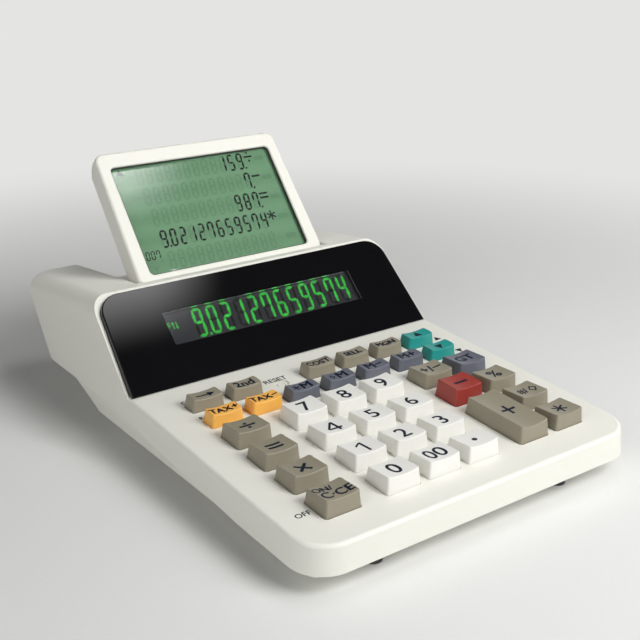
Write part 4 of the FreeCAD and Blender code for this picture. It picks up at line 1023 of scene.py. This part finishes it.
@dataclass
class TubeDisplay:
    """The black panel with the smoked window and the fluorescent figures behind it."""

    face: SegmentFace = SegmentFace(3.5, 12.5, 1.3, 0.25, 7.03, 5.0)
    depth: float = -3.62
    middle_height: float = 27.15
    first_figure: float = -33.6
    mark_height: float = 28.35
    edge: float = 0.6
    window_half: float = 52.0
    window_rows: tuple[float, float] = (16.0, 37.0)

    def panel(self) -> None:
        """Replace the black panel with one whose polished front edge is rounded outside the window."""
        low, high = self.window_rows
        obj = rounded_copy("display_panel", "panel_polished", PANEL, lambda end: abs(end.z) < TOUCH and (
            abs(end.x) > self.window_half or not low < end.y < high), self.edge)
        smooth(obj, 30.0)
        settle(obj, INNER["panel_black"], "case", "panel_black", "display_panel")

    def marks(self) -> list[Object]:
        """Return the small lit letter and arrows at the left of the figures."""
        parts = [words("F", 4.3, -48.1, self.mark_height)]
        for x, turn, tip in ((-45.75, 0.0, 1.0), (-44.15, 180.0, -1.0)):
            parts.append(bar(2.4, 0.4, x, self.mark_height - 0.3 * tip, 90.0))
            parts.append(triangle(0.8, turn, x, self.mark_height + 1.1 * tip))
        thicken(parts, self.face.thickness)
        return parts

    def build(self) -> None:
        """Build the panel and the tube's figures."""
        self.panel()
        row = ("9.02127659574", self.first_figure, self.middle_height)
        lit = join("tube_figures", [self.face.figures("lit", *row, True), *self.marks()])
        off = self.face.figures("tube_figures_off", *row, False)
        for obj, coat in ((lit, Phosphor.LIT), (off, Phosphor.UNLIT)):
            obj.data.transform(PANEL @ at(0.0, 0.0, self.depth))
            settle(obj, coat.value, "case", "tube_glass")


@dataclass
class LidDisplay:
    """The flip-up lid with its frame, clear sheet, black ring of painted reveal shade and liquid crystal
    cell.
    """

    face: SegmentFace = SegmentFace(2.45, 7.8, 1.04, 0.14, 4.9, 6.3)
    counter: SegmentFace = SegmentFace(1.5, 3.75, 0.52, 0.1, 2.6, 6.3)
    depth: float = 2.78
    rows: tuple[float, ...] = (53.1, 42.4, 31.75, 20.85, 10.3)
    texts: tuple[str, ...] = ("         159.", "           7.", "         987.", "9.02127659574", 12 * " ")
    first_figure: float = -28.45
    edge: float = 0.8
    gap: float = 0.12
    opening_half: float = 43.5
    opening_rows: tuple[float, float] = (3.0, 59.4)

    def frame_moulding(self) -> None:
        """Replace the lid's frame with one whose view opening has a rounded edge."""
        low, high = self.opening_rows
        obj = rounded_copy("lid_frame", "lid_frame_moulded", LID, lambda end: abs(end.y) < TOUCH and (
            abs(end.x) < self.opening_half and low < end.z < high), self.edge)
        smooth(obj)
        settle(obj, Shell.CASE.value, "display_lid", "case_white", "lid_frame")

    def clear_sheet(self) -> None:
        """Replace the clear sheet with one that stops short of the cell, so that the figures lie between."""
        obj = cad_copy("lid_window", "lid_window_clear")
        local = LID.inverted()
        with editing(obj, "VERT"):
            pick(obj, "VERT", lambda vert: (local @ vert.co).y > self.depth - self.gap)
            bpy.ops.transform.translate(value=LID.to_3x3() @ Vector((0.0, -self.gap, 0.0)))
        settle(obj, INNER["lid_clear"], "display_lid", "lid_clear", "lid_window")

    def reveal_shade_ring(self) -> None:
        """Build the thin black ring round the opening, under its rounded edge: painted shade on the
        opening's wall, which also stands for the dark bezel behind the cell.
        """
        obj = rounded_bar(84.5, 53.9, 0.0, 0.0, 2.1, 6)
        obj.name = "lid_reveal_shade_ring"
        with editing(obj, "FACE", "SELECT"):
            bpy.ops.mesh.inset(thickness=0.3)
            bpy.ops.mesh.delete(type="FACE")
        thicken([obj], 0.8)
        obj.data.transform(LID @ at(0.0, 0.95, 31.2) @ UPRIGHT)
        # Black plastic here paints the shade inside the opening's reveal.
        settle(obj, INNER["inner_black"], "display_lid", "inner_black")

    def signs(self) -> list[Object]:
        """Return the lit signs beside the figures: a division, a minus, an equals sign and a star."""
        x, rows = 30.7, self.rows
        parts = [bar(4.7, 0.95, x, rows[0] + 1.9), dot(0.5, x, rows[0] + 4.0), dot(0.5, x, rows[0] - 0.3),
                 bar(4.5, 0.95, x, rows[1] + 2.0), bar(4.7, 0.95, x, rows[2] + 3.0),
                 bar(4.7, 0.95, x, rows[2] + 0.8), arms(6, 2.5, 0.75, at(x - 0.3, rows[3] + 1.9))]
        thicken(parts, self.face.thickness)
        return parts

    def faint_signs(self) -> list[Object]:
        """Return the unlit signs of every row: a minus at the left and a block at the right."""
        parts = []
        for y in self.rows:
            parts += [bar(1.7, 0.6, -33.2, y + 0.3), rounded_bar(5.5, 2.6, 36.5, y + 0.6, 0.7, 3)]
        parts.append(triangle(1.6, 180.0, -37.3, 7.7))
        thicken(parts, self.face.thickness)
        return parts

    def build(self) -> None:
        """Build the lid's looks and the cell's figures."""
        self.frame_moulding()
        self.reveal_shade_ring()
        self.clear_sheet()
        dress(frame["nodes"]["lid_cell"], DisplayGlass("Display glass, green", "68936E", "709B76"))
        shown, ghosts = self.signs(), self.faint_signs()
        for text, y in zip(self.texts, self.rows):
            if text.strip():
                shown.append(self.face.figures("row", text, self.first_figure, y, True))
            ghosts.append(self.face.figures("row", text, self.first_figure, y, False))
        shown.append(self.counter.figures("count", "007", -39.2, 14.0, True))
        corner = [triangle(2.0, 0.0, -37.4, 55.8)]
        thicken(corner, self.face.thickness)
        layers = (
            ("cell_figures", shown, 0.02, DisplayGlass("Liquid crystal, dark", "0A1A14", "0D1F18")),
            ("cell_figures_off", ghosts, 0.0, DisplayGlass("Liquid crystal, clear", "5F8967", "668F6D")),
            ("cell_mark", corner, 0.02, DisplayGlass("Liquid crystal, half dark", "20342A", "263A30")),
        )
        for name, parts, lift, finish in layers:
            obj = join(name, parts)
            obj.data.transform(LID @ at(0.0, self.depth - lift) @ UPRIGHT)
            settle(obj, finish, "display_lid", "display_green")


# Case


@dataclass
class Case:
    """The shells with the deck's print, and all the pieces inside them.

    Attributes:
        print_height: How high the print stands over the deck.
        crest_round: The radius of the ridges' rounded crest.
        crest_axis: Where the axis of that round lies, from front to back and in height.
        crest_span: Where its straight stretch starts and ends, outwards from the middle.
        crest_face_turn: Which way the closed slot faces, in degrees up from the rear.
        crest_fill_depth: How deep the fill reaches under the crest.
        rim_from: The slot's rim lies beyond this point, in metres.
    """

    print_height: float = 0.02
    crest_round: float = 7.68
    crest_axis: tuple[float, float] = (110.8, 42.74)
    crest_span: tuple[float, float] = (53.35, 64.87)
    crest_face_turn: float = 21.2
    crest_fill_depth: float = 1.1
    rim_from: Point = (0.05, 0.112, 0.042)

    def crest_bar(self, side: float) -> Object:
        """Return the straight stretch of the ridge's rounded crest as a segment of a round bar, in metres.

        Args:
            side: -1 for the left ridge, 1 for the right one.
        """
        near, far = self.crest_span
        place = MM @ at(side * (near + far) / 2.0, *self.crest_axis) @ turned(90.0, "Y")
        obj = primitive(bpy.ops.mesh.primitive_cylinder_add, place, vertices=160, radius=self.crest_round,
                        depth=far - near)
        out = turned(self.crest_face_turn, "X") @ Vector((0.0, 1.0, 0.0))
        start = Vector((0.0, *self.crest_axis)) + out * (self.crest_round - self.crest_fill_depth)
        with editing(obj, "VERT", "SELECT"):
            bpy.ops.mesh.bisect(plane_co=start * 0.001, plane_no=out, clear_inner=True)
        return obj

    def crest_fill(self) -> None:
        """Close the slot at the rear end of each side ridge, where the hollow cuts through the crest."""
        x, y, z = self.rim_from
        sharp = 1.6
        fills = []
        for side in (-1.0, 1.0):
            rim = cad_copy("upper_case", "rim")
            with editing(rim, "EDGE"):
                found = pick(rim, "EDGE", lambda edge: edge.calc_face_angle(0.0) > sharp and all(
                    vert.co.x * side > x and vert.co.y > y and vert.co.z > z for vert in edge.verts))
                log.info("crest rim edges: %d", found)
                bpy.ops.mesh.select_mode(type="VERT")
                bpy.ops.mesh.select_all(action="INVERT")
                bpy.ops.mesh.delete(type="VERT")
            fill = join("fill", [self.crest_bar(side), rim])
            with editing(fill, "VERT", "SELECT"):
                bpy.ops.mesh.convex_hull()
                face_outward()
            fills.append(fill)
        obj = join("crest_fill", fills)
        smooth(obj, 50.0)
        settle(obj, Shell.CASE.value, "case", "case_white")

    def prints(self) -> list[Object]:
        """Return the words and marks on the deck, in the deck's frame."""
        places = (("OFF", 3.6, -67.6, 21.2), ("RESET", 4.2, -19.3, 109.7), ("CHECK", 3.0, -57.6, 112.1),
                  ("RATE", 3.0, -59.2, 97.4))
        parts = [words(*place, 0.05) for place in places]
        return parts + [triangle(2.2, 0.0, 67.2, 105.2), triangle(2.2, 180.0, 67.4, 90.8),
                        bar(2.8, 0.5, 68.8, 88.8)]

    def build(self) -> None:
        """Dress the CAD nodes by their material slots, close the crest and print the deck."""
        slots = {part["node"]: part["material_slot"] for part in frame["record"]["subparts"]}
        finishes = {**INNER, "case_white": Shell.CASE.value}
        for node, obj in frame["nodes"].items():
            if slots[node] in finishes:
                dress(obj, finishes[slots[node]])
            log.info("node %s wears %s", node, slots[node])
        self.crest_fill()
        obj = join("deck_words", self.prints())
        obj.data.transform(DECK @ at(0.0, 0.0, self.print_height))
        apply_modifier(obj, "SOLIDIFY", thickness=0.00004, offset=-1.0)
        settle(obj, Ink.DECK.value, "case", "case_white")


# Studio, in metres


@dataclass(frozen=True)
class Softbox:
    """A softbox lamp whose face fades towards its edges.

    Attributes:
        name: The lamp's name.
        place: Where its middle is.
        aim: The point it looks at.
        size: Its width and height.
        radiance: How bright its face is.
        edge: The width of the faded border.
    """

    name: str
    place: Point
    aim: Point
    size: tuple[float, float]
    radiance: float
    edge: float = 0.0

    def fade(self, tree: Tree) -> None:
        """Dim the lamp's face towards its edges."""
        tree.nodes.clear()
        face = add_node(tree, "NewGeometry", {})
        parts = add_node(tree, "SeparateXYZ", {}, {0: face.outputs["Parametric"]})
        ramps = {}
        for axis, length in enumerate(self.size):
            off = add_node(tree, "Math", {"operation": "SUBTRACT", 1: 0.5}, {0: parts.outputs[axis]})
            away = add_node(tree, "Math", {"operation": "ABSOLUTE"}, {0: off.outputs[0]})
            full = 0.5 - self.edge / length
            settings = {"interpolation_type": "SMOOTHSTEP", "From Min": 0.5, "From Max": full}
            ramps[axis] = add_node(tree, "MapRange", settings, {"Value": away.outputs[0]}).outputs["Result"]
        both = add_node(tree, "Math", {"operation": "MULTIPLY"}, ramps)
        light = add_node(tree, "Emission", {}, {"Strength": both.outputs[0]})
        add_node(tree, "OutputLight", {}, {0: light.outputs[0]})

    def build(self) -> None:
        """Add the lamp."""
        data = bpy.data.lights.new(self.name, "AREA")
        data.shape = "RECTANGLE"
        data.size, data.size_y = self.size
        data.energy = self.radiance * math.pi * self.size[0] * self.size[1]
        if self.edge:
            data.use_nodes = True
            self.fade(data.node_tree)
        obj = bpy.data.objects.new(self.name, data)
        obj.location = self.place
        obj.rotation_euler = (Vector(self.aim) - Vector(self.place)).to_track_quat("-Z", "Y").to_euler()
        bpy.context.scene.collection.objects.link(obj)


@dataclass
class Studio:
    """The floor, which fades to the backdrop between two distances, the lamps, the world and the camera."""

    camera_place: Point = (-0.24997, -0.35659, 0.20880)
    lens: float = 61.28
    shift: tuple[float, float] = (-0.0008, -0.0014)
    softboxes: tuple[Softbox, ...] = (
        Softbox("overhead", (0.19, -0.04, 0.62), (0.19, -0.04, 0.0), (0.26, 0.34), 5.4, 0.10),
        Softbox("front", (0.20, -0.50, 0.55), (0.0, -0.08, 0.02), (0.40, 0.35), 8.0),
        Softbox("front_right", (0.50, -0.85, 0.45), (0.0, 0.0, 0.03), (0.7, 0.5), 2.4),
        Softbox("left", (-0.95, -0.35, 0.45), (0.0, 0.0, 0.03), (0.7, 0.7), 2.1),
    )
    room: float = 0.06
    backdrop: str = "E4E4E2"
    floor_fade: tuple[float, float] = (0.13, 0.55)

    def camera(self) -> None:
        """Add the camera at the photograph's place, seen along the solved direction."""
        right = Vector((0.80711710, -0.59039136, -0.00016649))
        up = Vector((0.20784233, 0.28387484, 0.93606444))
        back = Vector((-0.55259710, -0.75554822, 0.35182856))
        data = bpy.data.cameras.new("camera")
        data.lens = self.lens
        data.sensor_width = 36.0
        data.shift_x, data.shift_y = self.shift
        data.clip_start = 0.01
        obj = bpy.data.objects.new("camera", data)
        obj.matrix_world = at(*self.camera_place) @ Matrix((right, up, back)).transposed().to_4x4()
        bpy.context.scene.collection.objects.link(obj)
        bpy.context.scene.camera = obj

    def seen(self, tree: Tree, gloss_share: Socket | None = None) -> Socket:
        """Return a factor: 1 for rays that see a surface, through gloss or glass too, and 0 for its light.

        Args:
            tree: The node tree.
            gloss_share: How much of it gloss sees, if not all.
        """
        path = add_node(tree, "LightPath", {})
        gloss = path.outputs["Is Glossy Ray"]
        if gloss_share:
            gloss = add_node(tree, "Math", {"operation": "MULTIPLY"}, {0: gloss_share, 1: gloss}).outputs[0]
        clear = add_node(tree, "Math", {"operation": "MAXIMUM"},
                         {0: path.outputs["Is Camera Ray"], 1: path.outputs["Is Transmission Ray"]})
        return add_node(tree, "Math", {"operation": "MAXIMUM"}, {0: clear.outputs[0], 1: gloss}).outputs[0]

    def floor(self) -> None:
        """Add the floor, which fades to the backdrop's white away from the object."""
        obj = primitive(bpy.ops.mesh.primitive_plane_add, size=40.0)
        obj.name = "floor"
        # Matt paper: pale grey, with its fibres just about visible.
        dress(obj, Finish("Paper, pale grey, matt", "ECECEA", "E8E8E6", 1.4286, (0.8, 0.8), 0.0, DULL))
        tree = obj.data.materials[0].node_tree
        nodes = {node.type: node for node in tree.nodes}
        near, far = self.floor_fade
        place = nodes["TEX_COORD"].outputs["Object"]
        away = add_node(tree, "VectorMath", {"operation": "LENGTH"}, {0: place}).outputs["Value"]
        settings = {"interpolation_type": "SMOOTHSTEP", "From Min": near, "From Max": far}
        ramp = add_node(tree, "MapRange", settings, {"Value": away}).outputs["Result"]
        fade = add_node(tree, "Math", {"operation": "MULTIPLY"}, {0: ramp, 1: self.seen(tree)}).outputs[0]
        white = add_node(tree, "Emission", {"Color": linear(self.backdrop)}).outputs[0]
        paper = nodes["BSDF_PRINCIPLED"].outputs["BSDF"]
        both = add_node(tree, "MixShader", {}, {0: fade, 1: paper, 2: white}).outputs[0]
        tree.links.new(both, nodes["OUTPUT_MATERIAL"].inputs["Surface"])

    def world(self) -> None:
        """Set a soft surrounding light, and a pale backdrop that gloss shows near the horizon only.

        Overhead the room is dark between its softboxes, as the black panel shows it.
        """
        world = bpy.data.worlds.new("studio")
        bpy.context.scene.world = world
        world.use_nodes = True
        tree = world.node_tree
        tree.nodes.clear()
        place = add_node(tree, "TexCoord", {}).outputs["Generated"]
        height = add_node(tree, "SeparateXYZ", {}, {0: place}).outputs["Z"]
        settings = {"interpolation_type": "SMOOTHSTEP", "From Min": 0.5, "From Max": 0.25}
        low = add_node(tree, "MapRange", settings, {"Value": height}).outputs["Result"]
        room = add_node(tree, "Background", {"Color": linear("FFFFFF"), "Strength": self.room}).outputs[0]
        wall = add_node(tree, "Background", {"Color": linear(self.backdrop), "Strength": 1.0}).outputs[0]
        mix = add_node(tree, "MixShader", {}, {0: self.seen(tree, low), 1: room, 2: wall})
        add_node(tree, "OutputWorld", {}, {"Surface": mix.outputs[0]})

    def build(self) -> None:
        """Set up the whole studio."""
        self.camera()
        self.floor()
        self.world()
        for softbox in self.softboxes:
            softbox.build()
        bpy.context.scene.view_settings.view_transform = "Standard"


def main() -> None:
    """Build the calculator's looks in order."""
    logging.basicConfig(level=logging.INFO, format="%(name)s: %(message)s")
    Studio().build()
    Case().build()
    TubeDisplay().build()
    LidDisplay().build()
    Keyboard().build()


if __name__ == "__main__":
    main()
